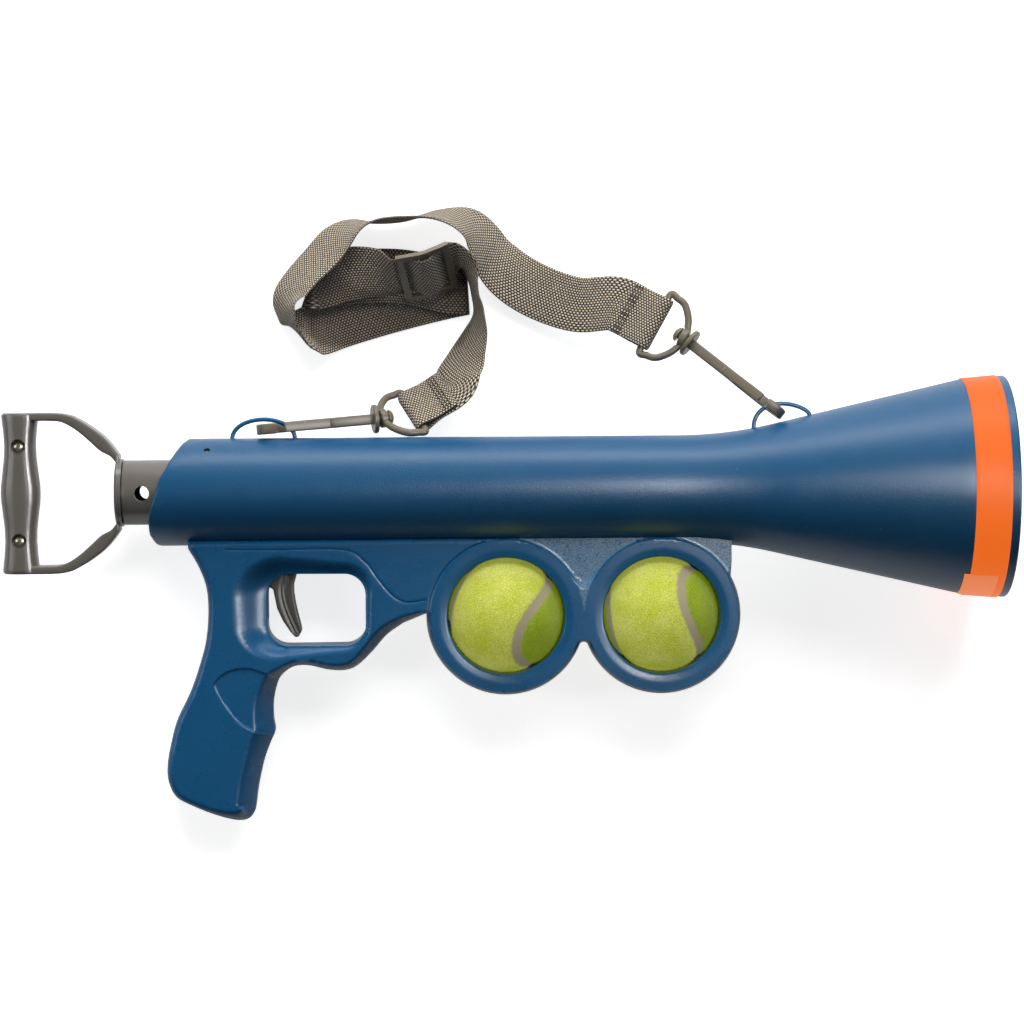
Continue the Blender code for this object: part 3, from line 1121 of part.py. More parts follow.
def make_hook(launcher, name, wire_at, way, wire_place, roll, ring_roll, ring_lean):
    """A snap hook clipped over a loop: its body with the pin, its gate and the ring that swivels on it."""
    turn = frame_of(way, roll)
    origin = Vector(wire_at) - turn @ Vector((wire_place, 0, HOOK_WIRE_DEPTH))
    hook = empty(name + "_frame", origin, turn.to_euler(), launcher)
    path = [(x * HOOK_LENGTH, y * HOOK_LENGTH) for x, y in HOOK_PATH_SHARES]
    side = (math.pi / 2, 0, 0)
    body = plate(stroke(path, HOOK_BAR), -HOOK_HALF_WIDTH, HOOK_HALF_WIDTH, bevel=HOOK_BEVEL)
    lug = stroke([(x * HOOK_LENGTH, y * HOOK_LENGTH) for x, y in GATE_LUG_SHARES], GATE_LUG_WIDTH)
    body = join(body, plate(lug, -GATE_LUG_HALF_WIDTH, GATE_LUG_HALF_WIDTH))
    collar_rear = RING_BASE_HALF + RING_PLAY
    collar_front = collar_rear + COLLAR_THICKNESS
    head_front = -RING_BASE_HALF - RING_PLAY
    spindle = turned(
        [(collar_front + HOOK_BAR, 0), (collar_front + HOOK_BAR, HOOK_PIN_RADIUS), (collar_front, HOOK_PIN_RADIUS),
         (collar_front, COLLAR_RADIUS), (collar_rear, COLLAR_RADIUS), (collar_rear, HOOK_PIN_RADIUS),
         (head_front, HOOK_PIN_RADIUS), (head_front, HOOK_PIN_HEAD_RADIUS),
         (head_front - HOOK_PIN_HEAD / 2, HOOK_PIN_HEAD_RADIUS),
         (head_front - HOOK_PIN_HEAD, HOOK_PIN_HEAD_RADIUS / 2), (head_front - HOOK_PIN_HEAD, 0)],
        2 * SCREW_SIDES, closed=False)
    body = join(place(body, rotation=side), spindle)
    node(name, body, TAUPE, hook)
    gate_path = [(x * HOOK_LENGTH, y * HOOK_LENGTH) for x, y in GATE_PATH_SHARES]
    gate = plate(stroke(gate_path, GATE_THICKNESS), -GATE_HALF_WIDTH, GATE_HALF_WIDTH)
    pivot = Matrix.Rotation(math.pi / 2, 3, "X") @ Vector((*gate_path[0], 0))
    node(name + "_gate", place(gate, rotation=side), TAUPE, hook, pivot)
    ring_turn = Matrix.Rotation(ring_roll - roll, 3, "X") @ Matrix.Rotation(ring_lean, 3, "Z")
    ring_frame = empty(name + "_ring_frame", (0, 0, 0), ring_turn.to_euler(), hook)
    ring_path = [(-x * RING_REACH, y * RING_WIDTH, 0) for x, y in RING_PATH_SHARES]
    ring = wire(ring_path, RING_BAR, closed=True)
    base = rod(RING_BASE_RADIUS, (-RING_BASE_HALF, 0, 0), (RING_BASE_HALF, 0, 0), 2 * SCREW_SIDES)
    bore = rod(RING_BORE_RADIUS, (-2 * RING_BAR, 0, 0), (2 * RING_BAR, 0, 0), 2 * SCREW_SIDES)
    trim = box(
        (RING_BASE_HALF, -RING_WIDTH, -RING_WIDTH), (RING_REACH, RING_WIDTH, RING_WIDTH))
    head_room = rod(
        HOOK_PIN_HEAD_RADIUS + RING_PLAY, (-RING_REACH / 2, 0, 0), (-RING_BASE_HALF, 0, 0), 2 * SCREW_SIDES)
    node(name + "_ring", cut(join(ring, base), bore, trim, head_room), TAUPE, ring_frame)
    return ring_frame


def make_hooks(launcher):
    """Both snap hooks, clipped to the loops. Returns their rings' frames."""
    rear_wire = loop_place(REAR_LOOP_X, REAR_LOOP_SPAN, REAR_LOOP_RISE, REAR_HOOK_SHARE)
    front_wire = loop_place(FRONT_LOOP_X, FRONT_LOOP_SPAN, FRONT_LOOP_RISE, FRONT_HOOK_SHARE)
    rear = make_hook(
        launcher, "hook_rear", rear_wire, REAR_HOOK_WAY, REAR_HOOK_WIRE_AT, 0, REAR_RING_ROLL,
        REAR_RING_LEAN)
    front = make_hook(
        launcher, "hook_front", front_wire, FRONT_HOOK_WAY, FRONT_HOOK_WIRE_AT, FRONT_HOOK_ROLL,
        FRONT_RING_ROLL, FRONT_RING_LEAN)
    return rear, front


def wrap(middle, across, way, bar_radius):
    """Places of webbing that comes from its sewn end, goes round a bar and leaves it again."""
    across = Vector(across).normalized()
    way = Vector(way)
    way = (way - across * way.dot(across)).normalized()
    normal = across.cross(way)
    radius = (bar_radius + GAP + STRAP_THICKNESS / 2) / math.cos(math.pi / 2 / STRAP_TURN_STEPS)
    apart = STRAP_THICKNESS / 2 + GAP
    places = [
        (middle + way * STRAP_FOLD - normal * (apart + GAP), across),
        (middle + way * STRAP_FOLD * 0.45 - normal * (apart + GAP), across)]
    for i in range(STRAP_TURN_STEPS + 1):
        angle = -math.pi / 2 - math.pi * i / STRAP_TURN_STEPS
        places.append((middle + (way * math.cos(angle) + normal * math.sin(angle)) * radius, across))
    places += [
        (middle + way * STRAP_FOLD * 0.45 + normal * (apart + GAP), across),
        (middle + way * (STRAP_FOLD + 2 * STRAP_THICKNESS) + normal * apart, across)]
    return places


def route_places(route):
    """A route's rows as places on the ground, in metres."""
    return [(Vector(row[:3]) * MM, Vector(row[3:]).normalized()) for row in route]


def between(first, second, t_first, t_second, t):
    """A straight blend of two vectors at t, where each has its own value of t."""
    return first + (second - first) * ((t - t_first) / (t_second - t_first))


def smooth_places(places):
    """Places on a curve through the given places, even where they lie close together."""
    points = [Vector((*middle, *across)) for middle, across in places]
    points = [2 * points[0] - points[1], *points, 2 * points[-1] - points[-2]]
    result = []
    for i in range(1, len(points) - 2):
        p = points[i - 1:i + 3]
        t = [0.0]
        for first, second in zip(p, p[1:]):
            t.append(t[-1] + math.sqrt((second - first).xyz.length))
        steps = max(1, round((p[2] - p[1]).xyz.length / STRAP_STEP))
        for step in range(steps):
            u = t[1] + (t[2] - t[1]) * step / steps
            first, middle, last = (between(p[k], p[k + 1], t[k], t[k + 1], u) for k in range(3))
            result.append(between(
                between(first, middle, t[0], t[2], u), between(middle, last, t[1], t[3], u), t[1], t[2], u))
    result.append(points[-2])
    return [(Vector(place[:3]), Vector(place[3:])) for place in result]


def webbing(places):
    """A flat band along its places: a box section drawn along the curve through them."""
    places = smooth_places(places)
    shape = bmesh.new()
    rings = []
    for i, (middle, across) in enumerate(places):
        along = (places[min(i + 1, len(places) - 1)][0] - places[max(i - 1, 0)][0]).normalized()
        across = (across - along * across.dot(along)).normalized()
        normal = along.cross(across)
        lift = normal * STRAP_THICKNESS / 2
        sides = [across * STRAP_WIDTH * (k / STRAP_COLUMNS - 1 / 2) for k in range(STRAP_COLUMNS + 1)]
        corners = [middle + side + lift for side in sides] + [middle + side - lift for side in sides[::-1]]
        rings.append([shape.verts.new(corner) for corner in corners])
    count = len(rings[0])
    for first, second in zip(rings, rings[1:]):
        for i in range(count):
            a, b, c, d = first[i], first[(i + 1) % count], second[(i + 1) % count], second[i]
            upper = i <= STRAP_COLUMNS
            for corners in ((a, b, c), (a, c, d)) if upper else ((a, b, d), (b, c, d)):
                shape.faces.new(corners)
    shape.faces.new(rings[0][::-1])
    shape.faces.new(rings[-1])
    bmesh.ops.recalc_face_normals(shape, faces=shape.faces)
    mesh = bpy.data.meshes.new("webbing")
    shape.to_mesh(mesh)
    shape.free()
    return mesh


def ring_bar(ring_frame, ground):
    """A ring's far bar as seen from the ground's frame: its middle and its way."""
    bpy.context.view_layer.update()
    to_ground = ground.matrix_world.inverted() @ ring_frame.matrix_world
    middle = to_ground @ Vector((-RING_REACH, 0, 0))
    across = (to_ground @ Vector((-RING_REACH, 1, 0)) - middle).normalized()
    return middle, across


def sewn_end(ring_frame, ground, route_end):
    """The webbing's fold round a ring's bar, towards the route's nearest place."""
    middle, across = ring_bar(ring_frame, ground)
    if across.dot(route_end[1]) < 0:
        across = -across
    return wrap(middle, across, route_end[0] - middle, RING_BAR)


def slider_thread():
    """The webbing's way through the slider, in the slider's frame: under, over and under its bars."""
    outer = (SLIDER_LENGTH - SLIDER_BAR) / 2
    lift = SLIDER_THICKNESS / 2 + STRAP_THICKNESS / 2 + SLIDER_CLEARANCE
    over = SLIDER_RISE + lift
    half = [
        (0, over), (outer * SLIDER_FLAT_SHARE, over - GAP), (outer * SLIDER_CLIMB_SHARE, (over - lift) / 2),
        (outer - SLIDER_BAR / 2, -lift), (outer + SLIDER_BAR, -lift)]
    return [(-x, z) for x, z in half[:0:-1]] + half


def make_strap(ground, rear_ring, front_ring):
    """The webbing from ring to ring, and the slider on it."""
    flow = Vector(SLIDER_FLOW).normalized()
    upward = -Vector(SLIDER_BARS)
    upward = (upward - flow * upward.dot(flow)).normalized()
    facing = flow.cross(upward)
    middle = Vector(SLIDER_MIDDLE) * MM
    threaded = [(middle + flow * x + facing * z, -upward) for x, z in slider_thread()]
    route, tail = route_places(LONG_ROUTE), route_places(TAIL_ROUTE)
    places = [
        *sewn_end(front_ring, ground, route[0]), *route, *threaded, *tail,
        *sewn_end(rear_ring, ground, tail[-1])[::-1]]
    node("strap", webbing(places), WEBBING, ground)
    turn = Matrix((flow, upward, facing)).transposed()
    slider = empty("slider_frame", middle, turn.to_euler(), ground)
    half_length, half_width = SLIDER_LENGTH / 2, SLIDER_WIDTH / 2
    path = [(-half_length, 0), (-SLIDER_BAR / 2, SLIDER_RISE), (SLIDER_BAR / 2, SLIDER_RISE), (half_length, 0)]
    frame = plate(stroke(path, SLIDER_THICKNESS), -half_width, half_width)
    slot_width = half_width - SLIDER_BAR
    reach = SLIDER_RISE + SLIDER_THICKNESS
    slots = [
        box((low, -slot_width, -reach), (high, slot_width, 2 * reach))
        for low, high in (
            (-half_length + SLIDER_BAR, -SLIDER_BAR / 2), (SLIDER_BAR / 2, half_length - SLIDER_BAR))]
    frame = cut(place(frame, rotation=(math.pi / 2, 0, 0)), *slots)
    node("strap_slider", rounded(frame, SLIDER_BEVEL, 1), TAUPE, slider)


TOOLS = None
PARTS = None


def main():
    """Build the whole object."""
    global TOOLS, PARTS
    clear_scene()
    PARTS = make_collection("dog_ball_thrower")
    TOOLS = make_collection("cutters")
    ground = empty("ground")
    launcher = empty("launcher", parent=ground)
    make_barrel(launcher)
    make_sleeve(launcher)
    make_plunger(launcher)
    make_handle(launcher)
    make_housing(launcher)
    make_balls(launcher)
    make_trigger(launcher)
    make_loops(launcher)
    lay_down(launcher)
    rear_ring, front_ring = make_hooks(launcher)
    make_strap(ground, rear_ring, front_ring)
    settle_origin(ground)


main()
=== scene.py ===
"""Looks of a toy dog ball thrower that lies on its side with its shoulder strap.

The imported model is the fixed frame. Each sub-assembly is a class that holds its sizes, builds its meshes
in the launcher's own frame (the barrel's axis is X, the strap loops are at +Y, the near side is +Z) and
dresses them. Finishes are small frozen dataclasses that build procedural materials.
"""

from __future__ import annotations

import json
import logging
from dataclasses import dataclass, field
from enum import Enum
from functools import cached_property
from itertools import accumulate
from math import acos, atan, atan2, copysign, cos, pi, radians, sin, sqrt, tan, tau
from typing import Callable, Iterable, Sequence

import bmesh
import bpy
import numpy as np
from bpy.types import Material, Mesh, Node, NodeSocket, NodeTree, Object
from mathutils import Euler, Matrix, Vector
from mathutils.geometry import delaunay_2d_cdt


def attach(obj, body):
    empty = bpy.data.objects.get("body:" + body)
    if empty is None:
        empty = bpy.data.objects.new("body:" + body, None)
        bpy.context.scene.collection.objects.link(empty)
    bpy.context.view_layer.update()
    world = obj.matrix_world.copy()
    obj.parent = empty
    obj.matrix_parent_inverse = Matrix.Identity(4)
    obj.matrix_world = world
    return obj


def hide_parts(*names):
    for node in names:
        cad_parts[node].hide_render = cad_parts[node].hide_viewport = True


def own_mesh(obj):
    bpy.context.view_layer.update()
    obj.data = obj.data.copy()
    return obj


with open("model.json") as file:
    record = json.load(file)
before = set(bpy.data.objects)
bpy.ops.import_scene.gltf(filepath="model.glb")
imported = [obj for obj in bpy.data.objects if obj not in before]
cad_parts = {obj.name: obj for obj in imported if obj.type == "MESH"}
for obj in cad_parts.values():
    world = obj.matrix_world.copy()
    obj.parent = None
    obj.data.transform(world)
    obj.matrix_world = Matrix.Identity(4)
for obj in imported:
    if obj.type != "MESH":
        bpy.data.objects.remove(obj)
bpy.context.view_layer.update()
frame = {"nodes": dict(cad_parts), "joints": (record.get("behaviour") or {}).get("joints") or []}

LOG = logging.getLogger("ball_thrower")
MM = 0.001
GAP = 0.3 * MM
# Corners closer than this are one, in made meshes and in CAD nodes.
MERGE = 0.002 * MM
CAD_MERGE = 0.005 * MM
BODY = "frame"
PLUNGER = "plunger"
WHITE_LIGHT = (1, 1, 1, 1)

Pair = tuple[float, float]
Triple = tuple[float, float, float]
Point = Pair
Outline = list[Point]
Places = Sequence[Sequence[float]]
Array = np.ndarray


class Face(Enum):
    """The side that a half faces: towards the camera or away."""

    NEAR = 1
    FAR = -1


# ---- Places in the frame ----


def joint(name: str) -> dict:
    """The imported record's joint of that name."""
    return next(j for j in frame["joints"] if j["name"] == name)


def launcher_frame(trigger_pivot: Point) -> Matrix:
    """Work out how the launcher lies from its joints.

    Args:
        trigger_pivot: the trigger's pivot in the launcher's frame.

    Returns:
        The matrix from the launcher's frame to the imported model's.
    """
    along = -Vector(joint("plunger_slide")["axis"]).normalized()
    up = Vector(joint("ball_rear_out")["axis"]).normalized()
    across = up.cross(along).normalized()
    turn = Matrix((along, across, along.cross(across))).transposed()
    origin = Vector(joint("trigger_pull")["pos_m"]) - turn @ Vector((*trigger_pivot, 0))
    return Matrix.Translation(origin) @ turn.to_4x4()


def hook_frame(name: str) -> Matrix:
    """A snap hook's own frame: X along its shank from the swivel, Y out of its side."""
    swivel = joint(name + "_swivel")
    along = Vector(swivel["axis"]).normalized()
    side = Vector(joint(name + "_gate_spring")["axis"])
    side = (side - along * side.dot(along)).normalized()
    turn = Matrix((along, side, along.cross(side))).transposed()
    return Matrix.Translation(swivel["pos_m"]) @ turn.to_4x4()


TRIGGER_PIVOT = (70 * MM, -39.5 * MM)
LAUNCHER = launcher_frame(TRIGGER_PIVOT)
GROUND = Matrix.Translation((LAUNCHER.translation.x, LAUNCHER.translation.y, 0))
HERE = Matrix.Identity(4)


# ---- Mesh helpers ----


def new_object(name: str, data: bpy.types.ID) -> Object:
    """Link a new object that holds a mesh or other data."""
    made = bpy.data.objects.new(name, data)
    bpy.context.scene.collection.objects.link(made)
    return made


def mesh_of(points: Iterable, faces: Iterable) -> Mesh:
    """Make a mesh from corner places and faces, merged and with its faces pointing out."""
    mesh = bpy.data.meshes.new("mesh")
    mesh.from_pydata([tuple(p) for p in points], [], [tuple(f) for f in faces])
    return tidy(mesh)


def written(shape: bmesh.types.BMesh, mesh: Mesh | None = None) -> Mesh:
    """Write a bmesh into a mesh, a new one unless given, and free it."""
    if mesh is None:
        mesh = bpy.data.meshes.new("mesh")
    shape.to_mesh(mesh)
    shape.free()
    return mesh


def read(*meshes: Mesh) -> bmesh.types.BMesh:
    """Read meshes into one bmesh."""
    shape = bmesh.new()
    for mesh in meshes:
        shape.from_mesh(mesh)
    return shape


def tidy(mesh: Mesh) -> Mesh:
    """Merge a mesh's doubles and turn its faces outwards."""
    shape = read(mesh)
    bmesh.ops.remove_doubles(shape, verts=shape.verts, dist=MERGE)
    bmesh.ops.recalc_face_normals(shape, faces=shape.faces)
    return written(shape, mesh)


def evaluated(source: Object) -> Mesh:
    """Read an object's mesh with its modifiers, then remove the object."""
    bpy.context.view_layer.update()
    graph = bpy.context.evaluated_depsgraph_get()
    mesh = bpy.data.meshes.new_from_object(source.evaluated_get(graph))
    bpy.data.objects.remove(source, do_unlink=True)
    return mesh


def combined(mesh: Mesh, operation: str, others: Sequence[Mesh]) -> Mesh:
    """Join or cut closed meshes.

    Args:
        mesh: the mesh to work on.
        operation: UNION or DIFFERENCE.
        others: the meshes to join or to take away.

    Returns:
        The result.
    """
    target = new_object("target", mesh)
    tools = [new_object("tool", other) for other in others]
    for tool in tools:
        boolean = target.modifiers.new("Boolean", "BOOLEAN")
        boolean.operation = operation
        boolean.solver = "MANIFOLD"
        boolean.object = tool
    result = evaluated(target)
    for tool in tools:
        bpy.data.objects.remove(tool, do_unlink=True)
    return result


def bevelled(mesh: Mesh, width: float, segments: int) -> Mesh:
    """Round a mesh's edges by a width, in a number of steps."""
    target = new_object("rounded", mesh)
    bevel = target.modifiers.new("Bevel", "BEVEL")
    bevel.width = width
    bevel.segments = segments
    bevel.limit_method = "ANGLE"
    bevel.angle_limit = radians(32)
    return evaluated(target)


def box(low: Sequence[float], high: Sequence[float]) -> Mesh:
    """A box between two corners."""
    shape = bmesh.new()
    bmesh.ops.create_cube(shape, size=1)
    low_corner, high_corner = Vector(low), Vector(high)
    bmesh.ops.scale(shape, vec=high_corner - low_corner, verts=shape.verts)
    bmesh.ops.translate(shape, vec=(low_corner + high_corner) / 2, verts=shape.verts)
    return written(shape)


def rod(radius: float, start: Sequence[float], end: Sequence[float], sides: int = 32) -> Mesh:
    """A cylinder between two points."""
    first, last = Vector(start), Vector(end)
    shape = bmesh.new()
    bmesh.ops.create_cone(
        shape, cap_ends=True, segments=sides, radius1=radius, radius2=radius, depth=(last - first).length)
    turn = (last - first).to_track_quat("Z", "Y").to_matrix().to_4x4()
    bmesh.ops.transform(shape, matrix=Matrix.Translation((first + last) / 2) @ turn, verts=shape.verts)
    return written(shape)


def quads(rows: int, count: int, around: bool = True, ring: bool = True) -> list[tuple[int, ...]]:
    """Faces between neighbouring rows of points.

    Args:
        rows: how many rows there are.
        count: points in each row.
        around: whether the last row joins the first.
        ring: whether a row's last point joins its first.

    Returns:
        The corner numbers of each face.
    """
    return [
        (row * count + i, row * count + (i + 1) % count,
         (row + 1) % rows * count + (i + 1) % count, (row + 1) % rows * count + i)
        for row in range(rows if around else rows - 1) for i in range(count if ring else count - 1)]


def caps(total: int, count: int) -> list[tuple[int, ...]]:
    """The faces that close the first and the last row of a number of points."""
    return [tuple(range(count)), tuple(range(total - 1, total - count - 1, -1))]


def turned(profile: Sequence[Point], sides: int = 96, axis: str = "X", closed: bool = False) -> Mesh:
    """Turn a profile about an axis.

    Args:
        profile: (place along the axis, radius) of each corner.
        sides: steps round the axis.
        axis: X or Z.
        closed: whether the profile's last corner joins its first.

    Returns:
        A closed mesh.
    """
    points = []
    for step in range(sides):
        angle = tau * step / sides
        for along, radius in profile:
            a, b = radius * cos(angle), radius * sin(angle)
            points.append((along, a, b) if axis == "X" else (a, b, along))
    return mesh_of(points, quads(sides, len(profile), ring=closed))


def arc(centre: Point, radius: float, start: float, end: float, steps: int) -> Outline:
    """Points along an arc, both ends included, angles in radians."""
    return [
        (centre[0] + radius * cos(start + (end - start) * i / steps),
         centre[1] + radius * sin(start + (end - start) * i / steps))
        for i in range(steps + 1)]


def through(points: Places, steps: int) -> list[Vector]:
    """Points on a smooth curve through others.

    Args:
        points: the places that the curve passes.
        steps: how many points each stretch gets.

    Returns:
        The curve's points, both ends included.
    """
    given = [Vector(p) for p in points]
    ends = [2 * given[0] - given[1], *given, 2 * given[-1] - given[-2]]
    result = []
    for i in range(len(given) - 1):
        a, b, c, d = ends[i:i + 4]
        for step in range(steps):
            t = step / steps
            result.append(
                ((2 * b) + (c - a) * t + (2 * a - 5 * b + 4 * c - d) * t ** 2
                 + (3 * b - a - 3 * c + d) * t ** 3) / 2)
    return [*result, given[-1]]


def line_through(places: Sequence[Point]) -> Array:
    """A smooth line through places given in millimetres."""
    return np.array(through(places, 8)) * MM


def stroke(path: Places, width: float) -> Outline:
    """The closed outline of a band of one width along a path, with rounded ends."""
    left, right = [], []
    for i, place in enumerate(path):
        here = Vector(place)
        along = (Vector(path[min(i + 1, len(path) - 1)]) - Vector(path[max(i - 1, 0)])).normalized()
        side = Vector((-along.y, along.x)) * width / 2
        left.append(tuple(here + side))
        right.append(tuple(here - side))
    return left + right[::-1]


def evenly(line: Places, step: float, closed: bool = True) -> Array:
    """Points at even steps along a path, or round it where it is closed."""
    places = np.array([tuple(p) for p in line])
    if closed:
        places = np.vstack([places, places[:1]])
    lengths = np.concatenate([[0], np.cumsum(np.linalg.norm(np.diff(places, axis=0), axis=1))])
    count = max(12 if closed else 2, round(lengths[-1] / step))
    at = np.linspace(0, lengths[-1], count, endpoint=not closed)
    return np.stack([np.interp(at, lengths, places[:, k]) for k in (0, 1)], 1)


def leftwards(way: Array) -> Array:
    """Unit ways to the left of the given ones."""
    way = way / np.maximum(np.linalg.norm(way, axis=1), 1e-12)[:, None]
    return np.stack([-way[:, 1], way[:, 0]], 1)


def wire(points: Places, radius: float, closed: bool = False, sides: int = 6) -> Mesh:
    """A round wire through points, as a bevelled curve made a closed mesh."""
    curve = bpy.data.curves.new("wire", "CURVE")
    curve.dimensions = "3D"
    curve.bevel_depth = radius
    curve.bevel_resolution = sides
    curve.use_fill_caps = not closed
    spline = curve.splines.new("POLY")
    spline.points.add(len(points) - 1)
    for point, place in zip(spline.points, points):
        point.co = (*place, 1)
    spline.use_cyclic_u = closed
    return tidy(evaluated(new_object("wire", curve)))


def smoothstep(value: Array) -> Array:
    """A soft ramp from 0 to 1."""
    held = np.clip(value, 0, 1)
    return held * held * (3 - 2 * held)


def nearest(points: Array, path: Array, closed: bool = True) -> tuple[Array, Array]:
    """Distances from points to a path.

    Args:
        points: N by 2 places.
        path: M by 2 corners.
        closed: whether the last corner joins the first.

    Returns:
        The distances, and for each the place on the path as a corner number with its fraction.
    """
    starts = path if closed else path[:-1]
    way = (np.roll(path, -1, axis=0) if closed else path[1:]) - starts
    square = np.maximum((way ** 2).sum(1), 1e-16)
    best, where = [], []
    for low in range(0, len(points), 2000):
        part = points[low:low + 2000]
        delta = part[:, None] - starts[None]
        share = np.clip((delta * way[None]).sum(2) / square[None], 0, 1)
        apart = np.linalg.norm(delta - share[..., None] * way[None], axis=2)
        choice = apart.argmin(1)
        rows = np.arange(len(part))
        best.append(apart[rows, choice])
        where.append(choice + share[rows, choice])
    return np.concatenate(best), np.concatenate(where)


def rounding(points: Array, path: Array, reach: float) -> Array:
    """How far a rounded edge has dropped at places beside a closed path, from 0 at its reach to 1."""
    near = np.clip(1 - nearest(points, path)[0] / reach, 0, 1)
    return 1 - np.sqrt(1 - near ** 2)


def inside(points: Array, path: Array) -> Array:
    """Whether each point lies inside a closed path."""
    result = np.zeros(len(points), bool)
    x, y = points[:, 0], points[:, 1]
    for (x0, y0), (x1, y1) in zip(path, np.roll(path, -1, axis=0)):
        crosses = (y0 > y) != (y1 > y)
        if crosses.any():
            result ^= crosses & (x < (x1 - x0) * (y - y0) / (y1 - y0 + 1e-18) + x0)
    return result


def in_material(points: Array, loops: list[Array]) -> Array:
    """Whether each point lies inside the first loop and outside the others."""
    held = inside(points, loops[0])
    for loop in loops[1:]:
        held &= ~inside(points, loop)
    return held


@dataclass
class Moulding:
    """A moulded piece with an outline, holes and a relief on one side or on both.

    Args:
        outline: its closed outline.
        holes: closed outlines of its openings.
        relief: gives the height of the shaped face at N by 2 places.
        back: the height of the flat back, or None where the relief is on both sides.
        grid: spacing of the points on its face.
        rows: how far in from its edges rows of points follow them.
        lines: paths that rows of points follow, such as grooves and steps.
        edge_step: spacing of the points along its edges.
        walls: for each hole, (offset outwards, height) of the rows under its edge.
        line_rows: how far beside each line its rows lie.
        line_step: spacing of the points along a line.
    """

    outline: Outline
    relief: Callable[[Array], Array]
    holes: list[Outline] = field(default_factory=list)
    back: float | None = None
    grid: float = 1.2 * MM
    rows: tuple[float, ...] = (0.25 * MM, 0.7 * MM, 1.3 * MM, 2.1 * MM)
    lines: list[Sequence] = field(default_factory=list)
    edge_step: float = 0.9 * MM
    walls: list[list[Point]] = field(default_factory=list)
    line_rows: tuple[float, ...] = (-1.1 * MM, -0.55 * MM, 0, 0.55 * MM, 1.1 * MM)
    line_step: float = 0.8 * MM

    def loops(self) -> list[Array]:
        """The edges as even rows of points, the outline first, the material to the left of each."""
        result = []
        for number, loop in enumerate([self.outline, *self.holes]):
            places = evenly(loop, self.edge_step)
            x, y = places[:, 0], places[:, 1]
            area = (x * np.roll(y, -1) - np.roll(x, -1) * y).sum()
            result.append(places[::-1] if (area > 0) != (number == 0) else places)
        return result

    @staticmethod
    def normals(path: Array) -> Array:
        """For each point of a closed path, the way into the material."""
        return leftwards(np.roll(path, -1, axis=0) - np.roll(path, 1, axis=0))

    @staticmethod
    def depth(points: Array, loops: list[Array]) -> Array:
        """How far each point lies inside the material, negative outside it."""
        distance = np.min([nearest(points, loop)[0] for loop in loops], axis=0)
        return np.where(in_material(points, loops), distance, -distance)

    def field_points(self, loops: list[Array]) -> Array:
        """The points inside the material: rows along edges and lines, and a grid between them."""
        kept = []
        for loop in loops:
            for row in self.rows:
                moved = loop + self.normals(loop) * row
                kept.append(moved[self.depth(moved, loops) > 0.93 * row])
        low, high = loops[0].min(0), loops[0].max(0)
        grid = np.array([
            (x + (self.grid / 2 if row % 2 else 0), y)
            for row, y in enumerate(np.arange(low[1], high[1], self.grid * sqrt(3) / 2))
            for x in np.arange(low[0], high[0], self.grid)])
        grid = grid[self.depth(grid, loops) > self.rows[-1] + 0.45 * self.grid]
        follow = []
        for line in self.lines:
            path = evenly(line, self.line_step, closed=False)
            side = leftwards(np.gradient(path, axis=0))
            follow += [path + side * row for row in self.line_rows]
            given = np.array([tuple(p) for p in line])
            grid = grid[nearest(grid, given, False)[0] > self.line_rows[-1] + 0.4 * self.grid]
        if follow:
            rows = np.vstack(follow)
            kept.append(rows[self.depth(rows, loops) > self.rows[-1]])
        return np.vstack([*kept, grid])

    def triangles(self, points: Array, loops: list[Array]) -> tuple[Array, Array]:
        """Fill the material between its edges.

        Args:
            points: places inside it.
            loops: its edges.

        Returns:
            All places, the edges' own first, and the triangles.
        """
        edges, start = [], 0
        for loop in loops:
            count = len(loop)
            edges += [(start + i, start + (i + 1) % count) for i in range(count)]
            start += count
        made = delaunay_2d_cdt([Vector(p) for p in np.vstack([*loops, points])], edges, [], 0, 1e-9)
        places, corners = (np.array([tuple(row) for row in made[k]]) for k in (0, 2))
        held = in_material(places[corners].mean(1), loops)
        # Thin triangles on an edge are judged with the region that they lie in.
        borders = {tuple(sorted(e)) for e, given in zip(made[1], made[4]) if given}
        region, hull = self.regions(corners, borders)
        sides = places[corners]
        first, second = sides[:, 1] - sides[:, 0], sides[:, 2] - sides[:, 0]
        area = np.abs(first[:, 0] * second[:, 1] - first[:, 1] * second[:, 0])
        count = region.max() + 1
        kept = np.bincount(region, area * held, count) > 0.5 * np.bincount(region, area, count)
        kept[region[hull]] = False
        return places, corners[kept[region]]

    @staticmethod
    def regions(corners: Array, borders: set) -> tuple[Array, list[int]]:
        """Number the triangles by the region that they lie in.

        Args:
            corners: the triangles' corners.
            borders: the edges that part the regions.

        Returns:
            Each triangle's region, and the triangles with a free edge that isn't a border.
        """
        beside: dict[tuple[int, int], int] = {}
        neighbours: list[list[int]] = [[] for _ in corners]
        for number, (a, b, c) in enumerate(corners.tolist()):
            for edge in ((a, b), (b, c), (c, a)):
                key = tuple(sorted(edge))
                other = beside.pop(key, None)
                if key not in borders and other is None:
                    beside[key] = number
                elif key not in borders:
                    neighbours[number].append(other)
                    neighbours[other].append(number)
        region = np.full(len(corners), -1)
        found = 0
        for start in range(len(corners)):
            if region[start] < 0:
                region[start], queue = found, [start]
                while queue:
                    for other in neighbours[queue.pop()]:
                        if region[other] < 0:
                            region[other] = found
                            queue.append(other)
                found += 1
        return region, list(beside.values())

